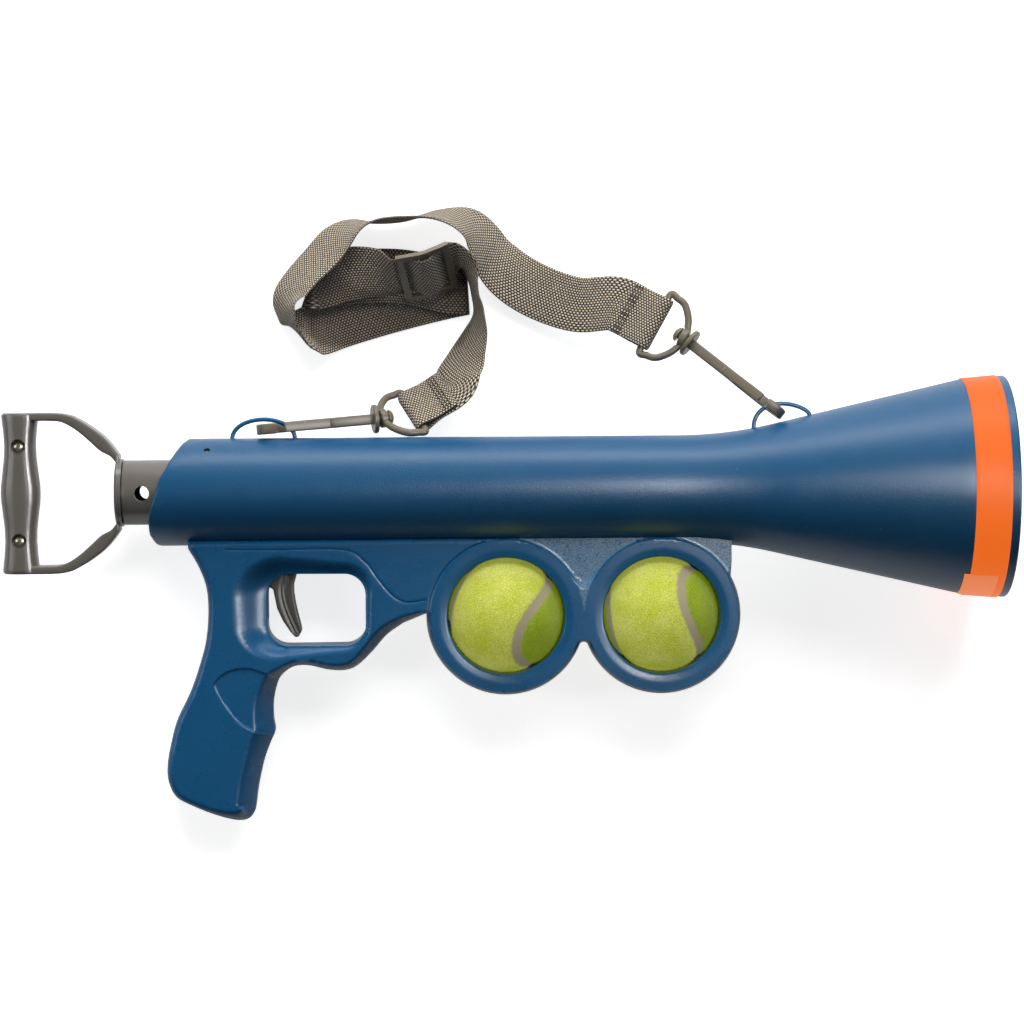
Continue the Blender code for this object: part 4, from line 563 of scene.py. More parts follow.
    def build(self) -> Mesh:
        """Make the closed mesh."""
        loops = self.loops()
        places, corners = self.triangles(self.field_points(loops), loops)
        heights = self.relief(places)
        points = [(*p, h) for p, h in zip(places, heights)]
        faces = [tuple(c) for c in corners]
        shift = len(points)
        if self.back is None:
            points += [(*p, -h) for p, h in zip(places, heights)]
            faces += [tuple(shift + i for i in c[::-1]) for c in corners]
        last_loops, last_rows, start = [], [], 0
        for number, loop in enumerate(loops):
            count = len(loop)
            above = list(range(start, start + count))
            start += count
            if self.back is None:
                faces += self.wall(above, [shift + i for i in above])
                continue
            walls = self.walls[number - 1] if number and number <= len(self.walls) else []
            moved = loop
            for offset, height in walls or [(0.0, self.back)]:
                moved = loop + self.normals(loop) * offset
                below = list(range(len(points), len(points) + count))
                points += [(*p, height) for p in moved]
                faces += self.wall(above, below)
                above = below
            last_loops.append(moved)
            last_rows += above
        if self.back is not None:
            floor = self.triangles(np.zeros((0, 2)), last_loops)[1]
            faces += [tuple(last_rows[i] for i in c[::-1]) for c in floor]
        return mesh_of(points, faces)

    @staticmethod
    def wall(above: list[int], below: list[int]) -> list[tuple[int, ...]]:
        """The faces between two closed rows of points."""
        return list(zip(above, above[1:] + above[:1], below[1:] + below[:1], below))


def edge_values(points: Array, path: Array, *values: Sequence[float]) -> list[Array]:
    """Distances to a closed path, and values blended between its corners at the nearest place."""
    distance, where = nearest(points, path)
    tables = [np.array([*row, row[0]], float) for row in values]
    return [distance, *(np.interp(where, np.arange(len(table)), table) for table in tables)]


# ---- Finishing a piece ----


def set_value(mesh: Mesh, name: str, values: Array) -> None:
    """Give a mesh's points a named value that its material reads."""
    mesh.attributes.new(name, "FLOAT", "POINT").data.foreach_set("value", values.astype(float))


def places_of(mesh: Mesh) -> Array:
    """A mesh's points as N by 3 places."""
    places = np.empty(len(mesh.vertices) * 3)
    mesh.vertices.foreach_get("co", places)
    return places.reshape(-1, 3)


def finish_piece(
        mesh: Mesh, name: str, finish: Finish, body: str, replaced: Sequence[str] = (),
        placing: Matrix = LAUNCHER, sharp: float = 38) -> Object:
    """Put a finished mesh in the scene.

    Args:
        mesh: the piece's mesh, in the frame that placing starts from.
        name: the piece's name.
        finish: its finish.
        body: the body that it rides on.
        replaced: the CAD nodes that it stands for.
        placing: where it goes.
        sharp: edges over this angle in degrees stay sharp.

    Returns:
        The piece.
    """
    mesh.transform(placing)
    mesh.name = name
    mesh.materials.clear()
    mesh.materials.append(finish.material)
    mesh.shade_smooth()
    mesh.set_sharp_from_angle(angle=radians(sharp))
    piece = new_object(name, mesh)
    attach(piece, body)
    if replaced:
        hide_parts(*replaced)
    LOG.info("%s: %d faces on %s", name, len(mesh.polygons), body)
    return piece


def dress_node(
        node: str, name: str, finish: Finish, body: str, bevel: float = 0.35 * MM, segments: int = 3
        ) -> Object:
    """Stand a softened copy of a CAD node in for it.

    Args:
        node: the CAD node.
        name: the piece's name.
        finish: its finish.
        body: the body that it rides on.
        bevel: the width of its rounded edges.
        segments: the steps of each rounding.

    Returns:
        The piece.
    """
    shape = read(frame["nodes"][node].data)
    bmesh.ops.remove_doubles(shape, verts=shape.verts, dist=CAD_MERGE)
    # Flat faces are made whole again, so that only real edges are rounded.
    bmesh.ops.dissolve_limit(shape, angle_limit=radians(0.6), verts=shape.verts, edges=shape.edges)
    mesh = written(shape)
    if bevel:
        mesh = bevelled(mesh, bevel, segments)
    return finish_piece(mesh, name, finish, body, (node,), HERE)


# ---- Finishes ----


def linear(hex_colour: str) -> tuple[float, float, float, float]:
    """Turn an sRGB hex colour into a linear one."""
    channels = [int(hex_colour.lstrip("#")[i:i + 2], 16) / 255 for i in (0, 2, 4)]
    return (*[c / 12.92 if c <= 0.04045 else ((c + 0.055) / 1.055) ** 2.4 for c in channels], 1.0)


def add_node(
        tree: NodeTree, kind: str, inputs: dict | None = None, **settings: object) -> Node:
    """Add a node with its settings and inputs.

    Args:
        tree: the tree that it goes into.
        kind: the node's type.
        inputs: input name or number to a value, a socket, or a node whose first output feeds it.
        settings: the node's own properties.

    Returns:
        The node.
    """
    made = tree.nodes.new(kind)
    for key, value in settings.items():
        setattr(made, key, value)
    return feed(tree, made, inputs or {})


def feed(tree: NodeTree, node: Node, inputs: dict) -> Node:
    """Set a node's inputs from values, sockets, or nodes by their first output."""
    for key, value in inputs.items():
        if isinstance(value, Node):
            value = value.outputs[0]
        if isinstance(value, NodeSocket):
            tree.links.new(value, node.inputs[key])
        else:
            node.inputs[key].default_value = value
    return node


def maths(tree: NodeTree, operation: str, *values: object) -> NodeSocket:
    """Add a Math node on sockets or numbers."""
    return add_node(tree, "ShaderNodeMath", dict(enumerate(values)), operation=operation).outputs[0]


class Surface:
    """A material under construction: its tree, its shader and the object's coordinates."""

    def __init__(self, name: str) -> None:
        """Start a material of that name."""
        self.material = bpy.data.materials.new(name)
        self.material.use_nodes = True
        self.tree = self.material.node_tree
        self.shader = self.tree.nodes["Principled BSDF"]
        self.place = add_node(self.tree, "ShaderNodeTexCoord").outputs["Object"]

    def noise(self, scale: float, detail: float = 2.0, roughness: float = 0.5) -> NodeSocket:
        """Noise over the object, with its scale in features to a metre."""
        return add_node(
            self.tree, "ShaderNodeTexNoise",
            {"Scale": scale, "Detail": detail, "Roughness": roughness, "Vector": self.place}).outputs["Fac"]

    def mark(self, name: str) -> NodeSocket:
        """The mesh's own value of that name, 0 where it has none."""
        return add_node(self.tree, "ShaderNodeAttribute", attribute_name=name).outputs["Fac"]

    def maths(self, operation: str, *values: object) -> NodeSocket:
        """Add a Math node."""
        return maths(self.tree, operation, *values)

    def blend(self, factor: object, first: object, second: object, kind: str = "MIX") -> NodeSocket:
        """Blend two colours, each a socket or an sRGB hex colour."""
        ends = [linear(c) if isinstance(c, str) else c for c in (first, second)]
        return add_node(
            self.tree, "ShaderNodeMix", {0: factor, 6: ends[0], 7: ends[1]}, data_type="RGBA",
            blend_type=kind).outputs[2]

    def ramp(self, factor: NodeSocket, *stops: tuple[float, str]) -> NodeSocket:
        """A colour ramp over a factor, with its stops as (place, hex colour)."""
        made = add_node(self.tree, "ShaderNodeValToRGB", {"Fac": factor})
        elements = made.color_ramp.elements
        while len(elements) < len(stops):
            elements.new(0.5)
        for element, (place, colour) in zip(elements, stops):
            element.position = place
            element.color = linear(colour)
        return made.outputs["Color"]

    def bump(self, height: NodeSocket, strength: float, depth: float) -> Node:
        """Relief from a height, at a strength and a depth in metres."""
        return add_node(self.tree, "ShaderNodeBump", {"Strength": strength, "Distance": depth, "Height": height})

    def spread(self, value: NodeSocket, low: float, high: float) -> Node:
        """Stretch a value from 0 to 1 between two others."""
        return add_node(self.tree, "ShaderNodeMapRange", {"To Min": low, "To Max": high, "Value": value})

    def done(self, inputs: dict) -> Material:
        """Feed the shader and return the material."""
        feed(self.tree, self.shader, inputs)
        return self.material


@dataclass(frozen=True)
class Finish:
    """What every finish has.

    Args:
        name: the material's name.
        slot: the record's material slot; not used.
    """

    name: str
    slot: str

    @cached_property
    def material(self) -> Material:
        """The material, built when it is first asked for."""
        return self.build(Surface(self.name))

    def build(self, made: Surface) -> Material:
        """Build the material."""
        raise NotImplementedError


@dataclass(frozen=True)
class MouldedPlastic(Finish):
    """Injection-moulded plastic: a nearly even colour with a fine grain, faint flow and bright specks that are
    painted glints.

    Args:
        colour: its main colour.
        second: the colour that it drifts to.
        speck: the colour of its few bright specks, painted glints.
        roughness: how matt it is.
        grain_mm: the size of its grain.
        grain_depth: the strength of its grain.
        shine: how much it reflects.
        glow: how strongly it glows, painted light that stands in for fluorescence and evens out its shading.
        painted_shading: the lighter colour painted in as painted light where the mesh's value of that name is set, if
            it has one.
    """

    colour: str
    second: str
    speck: str
    roughness: float
    grain_mm: float
    grain_depth: float
    shine: float = 0.4
    glow: float = 0.0
    painted_shading: str = ""

    def build(self, made: Surface) -> Material:
        """Build the material."""
        # Slow drift of the colour over about 60 mm, as pigment mixes in the melt.
        colour = made.blend(made.noise(16, 3), self.colour, self.second)
        # Painted glints: bright specks about 0.5 mm across, a few to each square centimetre.
        glint_cells = add_node(
            made.tree, "ShaderNodeTexVoronoi", {"Scale": 260.0, "Randomness": 1.0, "Vector": made.place}).outputs
        rare = add_node(made.tree, "ShaderNodeTexWhiteNoise", {"Vector": glint_cells["Position"]}).outputs["Value"]
        near = made.maths("LESS_THAN", glint_cells["Distance"], 0.13)
        speck = made.maths("MULTIPLY", near, made.maths("GREATER_THAN", rare, 0.985))
        colour = made.blend(made.maths("MULTIPLY", speck, 0.3), colour, self.speck)
        if self.painted_shading:
            # Textured fields are pebbled, about 0.8 mm to a pebble, and get painted light: their colour is lightened
            # for the light that their matt grain catches more than the skin.
            pebble = made.ramp(made.noise(1300), (0.36, self.colour), (0.6, self.painted_shading))
            colour = made.blend(made.mark("painted_shading"), colour, pebble)
        # The grain of the mould, and a slow unevenness of the skin.
        skin = made.noise(70, 3)
        height = made.maths("ADD", made.noise(1000 / self.grain_mm, 2, 0.6), made.maths("MULTIPLY", skin, 0.5))
        # A glow, where set, is painted light.
        return made.done({
            "Base Color": colour, "Normal": made.bump(height, self.grain_depth, 0.4 * MM),
            "Roughness": made.spread(skin, self.roughness - 0.05, self.roughness + 0.07), "IOR": 1.5,
            "Specular IOR Level": self.shine, "Emission Color": linear(self.colour), "Emission Strength": self.glow})


@dataclass(frozen=True)
class PlatedSteel(Finish):
    """Zinc-plated steel: bright, slightly mottled by the plating.

    Args:
        colour: its colour.
        roughness: how dull it is.
    """

    colour: str
    roughness: float

    def build(self, made: Surface) -> Material:
        """Build the material."""
        mottle = made.noise(900, 3)
        return made.done({
            "Base Color": linear(self.colour), "Metallic": 1.0, "Normal": made.bump(mottle, 0.15, 0.1 * MM),
            "Roughness": made.spread(mottle, self.roughness - 0.08, self.roughness + 0.12)})


@dataclass(frozen=True)
class Felt(Finish):
    """Wool and nylon felt of a tennis ball, in two shades of yellow-green, with a rubber seam.

    Args:
        light: its lighter shade.
        dark: its darker shade.
        deep: the tint of the painted shade on the felt panel on one side of the seam.
        seam: the seam's colour.
        glow: how strongly it glows, painted light that lifts the felt's shaded side, standing in for the dye's
            fluorescence.
    """

    light: str
    dark: str
    deep: str
    seam: str
    glow: float = 0.6

    def build(self, made: Surface) -> Material:
        """Build the material. The mesh's own values say where the seam and the second panel are."""
        # Patches of about 12 mm where the nap lies another way, and fibres of about 0.6 mm.
        shade = made.ramp(made.noise(70, 3), (0.3, self.dark), (0.7, self.light))
        fibre = made.noise(1500, 3, 0.7)
        felt = made.blend(0.62, shade, made.ramp(fibre, (0.38, "#8F8F8F"), (0.62, "#FFFFFF")), "MULTIPLY")
        # Painted shade: one felt panel is tinted darker and greener, like the ball's shaded side.
        painted_shade_felt = made.blend(made.mark("panel"), felt, self.deep, "MULTIPLY")
        colour = made.blend(made.mark("seam"), painted_shade_felt, self.seam)
        # The glow is painted light that evens out the ball's shading.
        return made.done({
            "Base Color": colour, "Normal": made.bump(fibre, 0.55, 0.6 * MM), "Roughness": 0.95,
            "Emission Color": colour, "Emission Strength": self.glow, "Sheen Weight": 0.35, "Sheen Roughness": 0.5,
            "Specular IOR Level": 0.2})


@dataclass(frozen=True)
class Webbing(Finish):
    """Coarse polypropylene webbing: flat floats lit by painted light over a ground darkened by painted shade, in a
    basket pattern.

    Args:
        light: the yarn's colour where it floats, lightened as painted light on the floats' tops.
        middle: its colour on the flanks.
        dark: the colour between the yarns, painted shade in the hollows.
        painted_shading: the tint of the painted shade on its folded stretch.
        warp: spacing of the yarns across the webbing.
        weft: spacing of the crossings along it.
    """

    light: str
    middle: str
    dark: str
    painted_shading: str
    warp: float = 1.45 * MM
    weft: float = 1.9 * MM

    def build(self, made: Surface) -> Material:
        """Build the material on the piece's own map, in metres across and along."""
        weave = add_node(made.tree, "ShaderNodeUVMap", uv_map="weave")
        parts = add_node(made.tree, "ShaderNodeSeparateXYZ", {0: weave}).outputs
        across = made.maths("DIVIDE", parts[0], self.warp)
        along = made.maths("DIVIDE", parts[1], self.weft)

        def wave(value: NodeSocket, power: float) -> NodeSocket:
            """A row of ridges, one to each whole number."""
            sine = made.maths("SINE", made.maths("MULTIPLY", value, pi))
            return made.maths("POWER", made.maths("ABSOLUTE", sine), power)

        # Each second yarn is half a crossing further on, which makes the brick-like floats.
        odd = made.maths("FLOORED_MODULO", made.maths("FLOOR", across), 2.0)
        shifted = made.maths("ADD", along, made.maths("MULTIPLY", odd, 0.5))
        height = made.maths("MULTIPLY", wave(across, 0.6), wave(shifted, 0.8))
        fray = made.maths("MULTIPLY", made.maths("SUBTRACT", made.noise(900), 0.5), 0.35)
        # The colour follows the weave's height: painted light on the floats' tops and painted shade in the hollows
        # between the yarns.
        colour = made.ramp(
            made.maths("ADD", height, fray), (0.3, self.dark), (0.55, self.middle), (0.85, self.light))
        # Painted shade: the folded stretch, where the layers shadow each other, is darkened.
        return made.done({
            "Base Color": made.blend(made.mark("shade"), colour, self.painted_shading, "MULTIPLY"),
            "Normal": made.bump(height, 0.7, 0.7 * MM), "Roughness": 0.75, "Sheen Weight": 0.15})


# Blow-moulded polyethylene, deep blue, with a fine pebble that breaks up its highlights.
SHELL = MouldedPlastic(
    "blue_polyethylene_shell", "blue_plastic", "#125682", "#10507A", "#6F93B4", 0.32, 0.8, 0.3, 0.45)
# The same colour in injection-moulded ABS, smoother than the barrel. Its textured fields are lightened as painted
# light.
ABS = MouldedPlastic(
    "blue_moulded_abs", "blue_plastic", "#165F90", "#145A89", "#6F93B4", 0.27, 0.6, 0.14, painted_shading="#7C9DB5")
# Self-adhesive vinyl tape in fluorescent orange, made to look equally bright all round by a strong painted glow. Its
# lapped end is paler.
TAPE = MouldedPlastic(
    "orange_vinyl_tape", "orange_tape", "#7A330A", "#763009", "#FFC9A0", 0.45, 3.0, 0.05, 0.2, 4.0)
TAPE_END = MouldedPlastic(
    "pale_orange_vinyl_tape", "orange_tape", "#A65A36", "#A05432", "#FFD8BA", 0.45, 3.0, 0.05, 0.2, 1.9)
# Warm grey ABS with a satin skin that shows soft streaks of light.
GREY = MouldedPlastic("grey_moulded_abs", "grey_plastic", "#736F68", "#6A665F", "#8E8A80", 0.22, 0.8, 0.1, 0.5)
DARK = MouldedPlastic("dark_grey_moulded_abs", "dark_grey_plastic", "#55524C", "#4E4B46", "#8A867D", 0.4, 0.5, 0.1)
# Taupe acetal of the strap's fittings, satin.
TAUPE = MouldedPlastic("taupe_acetal", "taupe_plastic", "#7D7463", "#756C5C", "#B5AD9C", 0.36, 0.6, 0.1)
STEEL = PlatedSteel("zinc_plated_steel", "steel", "#C9C2AE", 0.3)
# Soft black rubber of the plunger's pad, dull.
RUBBER = MouldedPlastic("black_rubber", "black_rubber", "#1E1E1E", "#242424", "#3A3A3A", 0.75, 0.6, 0.2)
WHITE = MouldedPlastic("white_acetal", "white_plastic", "#D2D0C8", "#CBC8BF", "#F0EEE8", 0.4, 0.8, 0.1)
# Its deep tint is painted shade on one felt panel.
FELT = Felt("tennis_ball_felt", "ball_felt", "#C9CC64", "#B6BF37", "#B8CC50", "#8A8168")
# Its last colour darkens the strap's folds as painted shade.
WEBBING = Webbing("polypropylene_webbing", "webbing", "#E4D4BC", "#776A5A", "#15110E", "#BDB7B0")
# Twisted dark thread of the sewn ends.
THREAD = MouldedPlastic("dark_sewing_thread", "webbing", "#3B352E", "#2F2A25", "#5A5248", 0.85, 0.4, 0.3)


# ---- Geometry Nodes for what repeats ----


class Tree:
    """A Geometry Nodes tree with named inputs, which ends in Realize Instances and Set Material."""

    def __init__(self, name: str, kinds: dict[str, str]) -> None:
        """Start a tree with its inputs, each with its socket's kind."""
        self.group = bpy.data.node_groups.new(name, "GeometryNodeTree")
        new = self.group.interface.new_socket
        new("Geometry", in_out="OUTPUT", socket_type="NodeSocketGeometry")
        self.identifiers = {
            key: new(key, in_out="INPUT", socket_type="NodeSocket" + kind).identifier
            for key, kind in {"Geometry": "Geometry", **kinds}.items()}
        self.given = self.group.nodes.new("NodeGroupInput").outputs

    def add(self, kind: str, inputs: dict | None = None, **settings: object) -> Node:
        """Add a Geometry node."""
        return add_node(self.group, "GeometryNode" + kind, inputs, **settings)

    def instances(self, places: object, model: object, inputs: dict) -> Node:
        """Set a model on points."""
        return self.add("InstanceOnPoints", {"Points": places, "Instance": model, **inputs})

    def mesh(
            self, geometry: Node, finish: Finish, source: Object, values: dict[str, object]
            ) -> Mesh:
        """Finish the tree and run it on an object.

        Args:
            geometry: the tree's last node.
            finish: the finish of what it makes.
            source: the object that the tree works on, which is removed.
            values: named input to value.

        Returns:
            The plain mesh.
        """
        real = self.add("RealizeInstances", {"Geometry": geometry})
        dressed = self.add("SetMaterial", {"Material": finish.material, "Geometry": real})
        add_node(self.group, "NodeGroupOutput", {0: dressed})
        modifier = source.modifiers.new("Pattern", "NODES")
        modifier.node_group = self.group
        for name, value in values.items():
            modifier[self.identifiers[name]] = value
        return evaluated(source)


def point_object(places: Sequence[Vector], edges: Sequence[tuple[int, int]] = ()) -> Object:
    """An object of points and of edges between them."""
    mesh = bpy.data.meshes.new("places")
    mesh.from_pydata([tuple(p) for p in places], edges, [])
    return new_object("places", mesh)


def copies_at(model: Mesh, places: Sequence[Vector], turn: Euler, finish: Finish) -> Mesh:
    """Set copies of a small model at places, with Geometry Nodes.

    Args:
        model: the mesh to repeat.
        places: where the copies go.
        turn: how each is turned.
        finish: their finish.

    Returns:
        One mesh of all copies.
    """
    pattern = new_object("model", model)
    tree = Tree("copies at places", {"Model": "Object", "Turn": "Vector"})
    source = tree.add("ObjectInfo", {"Object": tree.given["Model"]}).outputs["Geometry"]
    placed = tree.instances(tree.given[0], source, {})
    whole = tree.add("RotateInstances", {"Instances": placed, "Rotation": tree.given["Turn"]})
    mesh = tree.mesh(whole, finish, point_object(places), {"Model": pattern, "Turn": tuple(turn)})
    bpy.data.objects.remove(pattern, do_unlink=True)
    return mesh


def stitches(rows: Sequence[Sequence[Vector]], spacing: float, length: float, radius: float) -> Mesh:
    """Rows of stitches along paths, with Geometry Nodes.

    Args:
        rows: for each seam, the places that it passes.
        spacing: distance from one stitch to the next.
        length: a stitch's length.
        radius: the thread's radius.

    Returns:
        The stitches' mesh.
    """
    tree = Tree("rows of stitches", {"Spacing": "Float", "Length": "Float", "Thread Radius": "Float"})
    line = tree.add("MeshToCurve", {"Mesh": tree.given[0]})
    spaced = tree.add("CurveToPoints", {"Curve": line, "Length": tree.given["Spacing"]}, mode="LENGTH").outputs
    thin = tree.given["Thread Radius"]
    thread = tree.add("MeshUVSphere", {"Segments": 8, "Rings": 6, "Radius": thin})
    half = maths(tree.group, "MULTIPLY", maths(tree.group, "DIVIDE", tree.given["Length"], thin), 0.5)
    stretch = add_node(tree.group, "ShaderNodeCombineXYZ", {0: 1.0, 1: 1.0, 2: half})
    placed = tree.instances(spaced[0], thread, {"Rotation": spaced["Rotation"], "Scale": stretch})
    places = [place for row in rows for place in row]
    ends = set(np.cumsum([len(row) for row in rows]).tolist())
    edges = [(i, i + 1) for i in range(len(places) - 1) if i + 1 not in ends]
    return tree.mesh(
        placed, THREAD, point_object(places, edges), {"Spacing": spacing, "Length": length, "Thread Radius": radius})


def nap(ball: Mesh, density: float, length: float, radius: float, seed: int) -> Mesh:
    """Short loose fibres standing on a ball's felt, with Geometry Nodes.

    Args:
        ball: the ball's mesh, whose seam value keeps fibres off the seam.
        density: fibres to a square metre.
        length: a fibre's length.
        radius: its radius at the foot.
        seed: the seed of their places and lean.

    Returns:
        The fibres' mesh.
    """
    tree = Tree("felt nap", {"Density": "Float", "Length": "Float", "Fibre Radius": "Float"})
    mask = tree.add("InputNamedAttribute", {"Name": "seam"}, data_type="FLOAT")
    free = maths(tree.group, "SUBTRACT", 1.0, mask.outputs[0])
    amount = maths(tree.group, "MULTIPLY", free, tree.given["Density"])
    spread = tree.add(
        "DistributePointsOnFaces", {"Seed": seed, "Mesh": tree.given[0], "Density": amount},
        distribute_method="RANDOM").outputs
    hair = tree.add(
        "MeshCone", {"Vertices": 3, "Radius Top": 0.0, "Radius Bottom": tree.given["Fibre Radius"],
                     "Depth": tree.given["Length"]}, fill_type="NONE")
    lean = add_node(
        tree.group, "FunctionNodeRandomValue", {0: (-0.9, -0.9, -3.1), 1: (0.9, 0.9, 3.1), "Seed": seed + 1},
        data_type="FLOAT_VECTOR")
    placed = tree.instances(spread["Points"], hair, {"Rotation": spread["Rotation"]})
    leaning = tree.add("RotateInstances", {"Instances": placed, "Rotation": lean})
    return tree.mesh(
        leaning, FELT, new_object("felt", ball.copy()),
        {"Density": density, "Length": length, "Fibre Radius": radius})


# ---- Barrel ----


@dataclass
class Barrel:
    """The blue barrel with its flare, the tape round its mouth, the strap loops and what is inside."""

    length: float = 478 * MM
    radius: float = 30.5 * MM
    wall: float = 2.4 * MM
    flare_start: float = 319 * MM
    flare_fillet: float = 240 * MM
    mouth_start: float = 452 * MM
    mouth_start_radius: float = 61.2 * MM
    mouth_radius: float = 63.4 * MM
    stop_ring: Triple = (300.6 * MM, 304.6 * MM, 25.6 * MM)
    tape: Pair = (453 * MM, 473 * MM)
    tape_thickness: float = 0.5 * MM
    tape_end: Pair = (radians(141), radians(30))
    grub_x: float = 24.4 * MM
    grub_radius: float = 1.8 * MM
    grub_angle: float = radians(53)
    loop_wire: float = 1.25 * MM
    loops: tuple = (
        ("strap_loop_rear", 55.3 * MM, 35.6 * MM, 11.9 * MM), ("strap_loop_front", 351 * MM, 32 * MM, 11.5 * MM))
    sear_slot: Triple = (22 * MM, 37 * MM, 3.6 * MM)
    rear_edge: tuple = (
        (30.7, 14.2), (27.3, 10.6), (18.2, 4.6), (7.9, -0.8), (-7, -5.4), (-15.7, -7.4), (-23.2, -7.2), (-29, -4.6),
        (-30.8, -2.6))
    rear_reach: float = 70 * MM
    sides: int = 160

    def side(self, offset: float) -> Outline:
        """The barrel's side from rear to mouth, as (x, radius), moved out by an offset."""
        angle = atan((self.mouth_start_radius - self.radius) / (self.mouth_start - self.flare_start))
        tangent = self.flare_fillet * tan(angle / 2)
        centre_y = self.radius + self.flare_fillet
        reach = self.flare_fillet - offset
        path = [(x, self.radius + offset) for x in np.linspace(0, self.flare_start - tangent - 6 * MM, 24)]
        for i in range(13):
            turn = angle * i / 12
            path.append((self.flare_start - tangent + reach * sin(turn), centre_y - reach * cos(turn)))
        path += [
            (x, self.mouth_start_radius + offset - (self.mouth_start - x) * tan(angle))
            for x in np.linspace(path[-1][0] + 8 * MM, self.mouth_start - 6 * MM, 9)]
        path += [(self.mouth_start, self.mouth_start_radius + offset), (self.length, self.mouth_radius + offset)]
        return path

    def radius_at(self, x: float) -> float:
        """The outer radius at a place along the axis."""
        path = self.side(0)
        return float(np.interp(x, [p[0] for p in path], [p[1] for p in path]))

    def shell(self) -> Mesh:
        """The barrel's wall, with its slanting rear end and rounded lip."""
        lip = self.wall / 2
        bore = self.radius - self.wall
        stop_rear, stop_front, stop_inner = self.stop_ring
        profile = self.side(0)[:-1] + [(self.length - lip, self.mouth_radius)]
        profile += arc((self.length - lip, self.mouth_radius - lip), lip, pi / 2, -pi / 2, 8)[1:]
        profile += [p for p in self.side(-self.wall)[::-1] if stop_front + MM < p[0] < self.length - 2 * lip]
        profile += [
            (stop_front, stop_inner + 3.5 * MM), (stop_front, stop_inner), (stop_rear, stop_inner), (stop_rear, bore)]
        profile += [(x, bore) for x in np.linspace(stop_rear - 5 * MM, 0, 20)]
        profile += arc((0, self.radius - lip), lip, -pi / 2, -3 * pi / 2, 6)[1:-1]
        heights, places = np.array(sorted(self.rear_edge)).T * MM
        reach, points = self.rear_reach, []
        for step in range(self.sides):
            angle = tau * step / self.sides
            for x, radius in profile:
                y, z = radius * cos(angle), radius * sin(angle)
                if x < reach:
                    start = float(np.interp(y, heights, places))
                    x = start + x * (reach - start) / reach if x >= 0 else start + x
                points.append((x, y, z))
        return mesh_of(points, quads(self.sides, len(profile)))

    def build(self) -> None:
        """Build and dress every piece of the barrel."""
        cutters, foot = [], Vector((self.grub_x, 0, 0))
        for turn in (self.grub_angle, self.grub_angle + pi):
            way = Vector((0, sin(turn), cos(turn))) * self.radius
            cutters.append(rod(self.grub_radius, foot + way * 0.8, foot + way * 1.1))
        rear, front, half = self.sear_slot
        cutters.append(box((rear, -self.radius * 1.1, -half), (front, -self.radius * 0.8, half)))
        finish_piece(combined(self.shell(), "DIFFERENCE", cutters), "barrel_shell", SHELL, BODY, ("barrel",))
        rear, front = self.tape
        whole = self.tape_piece(rear, front, 0, tau, 0.3, 0.8)
        finish_piece(whole, "muzzle_tape", TAPE, BODY, ("orange_band",), sharp=50)
        end = self.tape_piece(rear - 3.2 * MM, front - 4 * MM, *self.tape_end, 0.85, 0.3)
        finish_piece(end, "muzzle_tape_end", TAPE_END, BODY, sharp=50)
        for name, middle, span, rise in self.loops:
            finish_piece(self.loop(middle, span, rise), name + "_wire", ABS, BODY, (name,))
        dress_node("bushing_sleeve", "guide_bushing", WHITE, BODY, 0.3 * MM, 2)
        for side in ("near", "far"):
            dress_node(f"bushing_screw_{side}", f"grub_screw_{side}", STEEL, BODY, 0.15 * MM, 2)

    def tape_piece(
            self, start: float, end: float, angle: float, sweep: float, lift: float, thick: float) -> Mesh:
        """A stretch of tape on the muzzle.

        Args:
            start: its rear edge along the barrel.
            end: its front edge.
            angle: where it begins round the barrel.
            sweep: how far it goes round.
            lift: its underside's height over the barrel, as a share of the tape's thickness.
            thick: its thickness, as a share of the tape's.

        Returns:
            The closed mesh.
        """
        closed = sweep >= tau
        steps = max(12, round(sweep * 26))
        rows = steps if closed else steps + 1
        low = GAP + (lift - 0.3) * self.tape_thickness
        high = low + thick * self.tape_thickness
        top = [(x, high) for x in np.linspace(start + 0.4 * MM, end - 0.4 * MM, 9)]
        side = [(x, self.radius_at(x) + height) for x, height in ((start, low), *top, (end, low))]
        turns = [angle + sweep * step / steps for step in range(rows)]
        points = [(x, radius * cos(turn), radius * sin(turn)) for turn in turns for x, radius in side]
        faces = quads(rows, len(side), around=closed)
        return mesh_of(points, faces if closed else faces + caps(len(points), len(side)))

    def loop(self, middle: float, span: float, rise: float) -> Mesh:
        """A wire loop that stands on the barrel."""
        rear, front = middle - span / 2, middle + span / 2
        first, last = self.radius_at(rear), self.radius_at(front)
        top = self.radius_at(middle) + rise - self.loop_wire
        points = [(rear, first - self.wall + GAP, 0)]
        for share in np.arange(25) / 24:
            knee = first + (last - first) * share
            points.append((
                middle - span / 2 * cos(pi * share), knee + (top - knee) * sin(pi * share), 0))
        return wire([*points, (front, last - self.wall + GAP, 0)], self.loop_wire)


# ---- Lower body ----


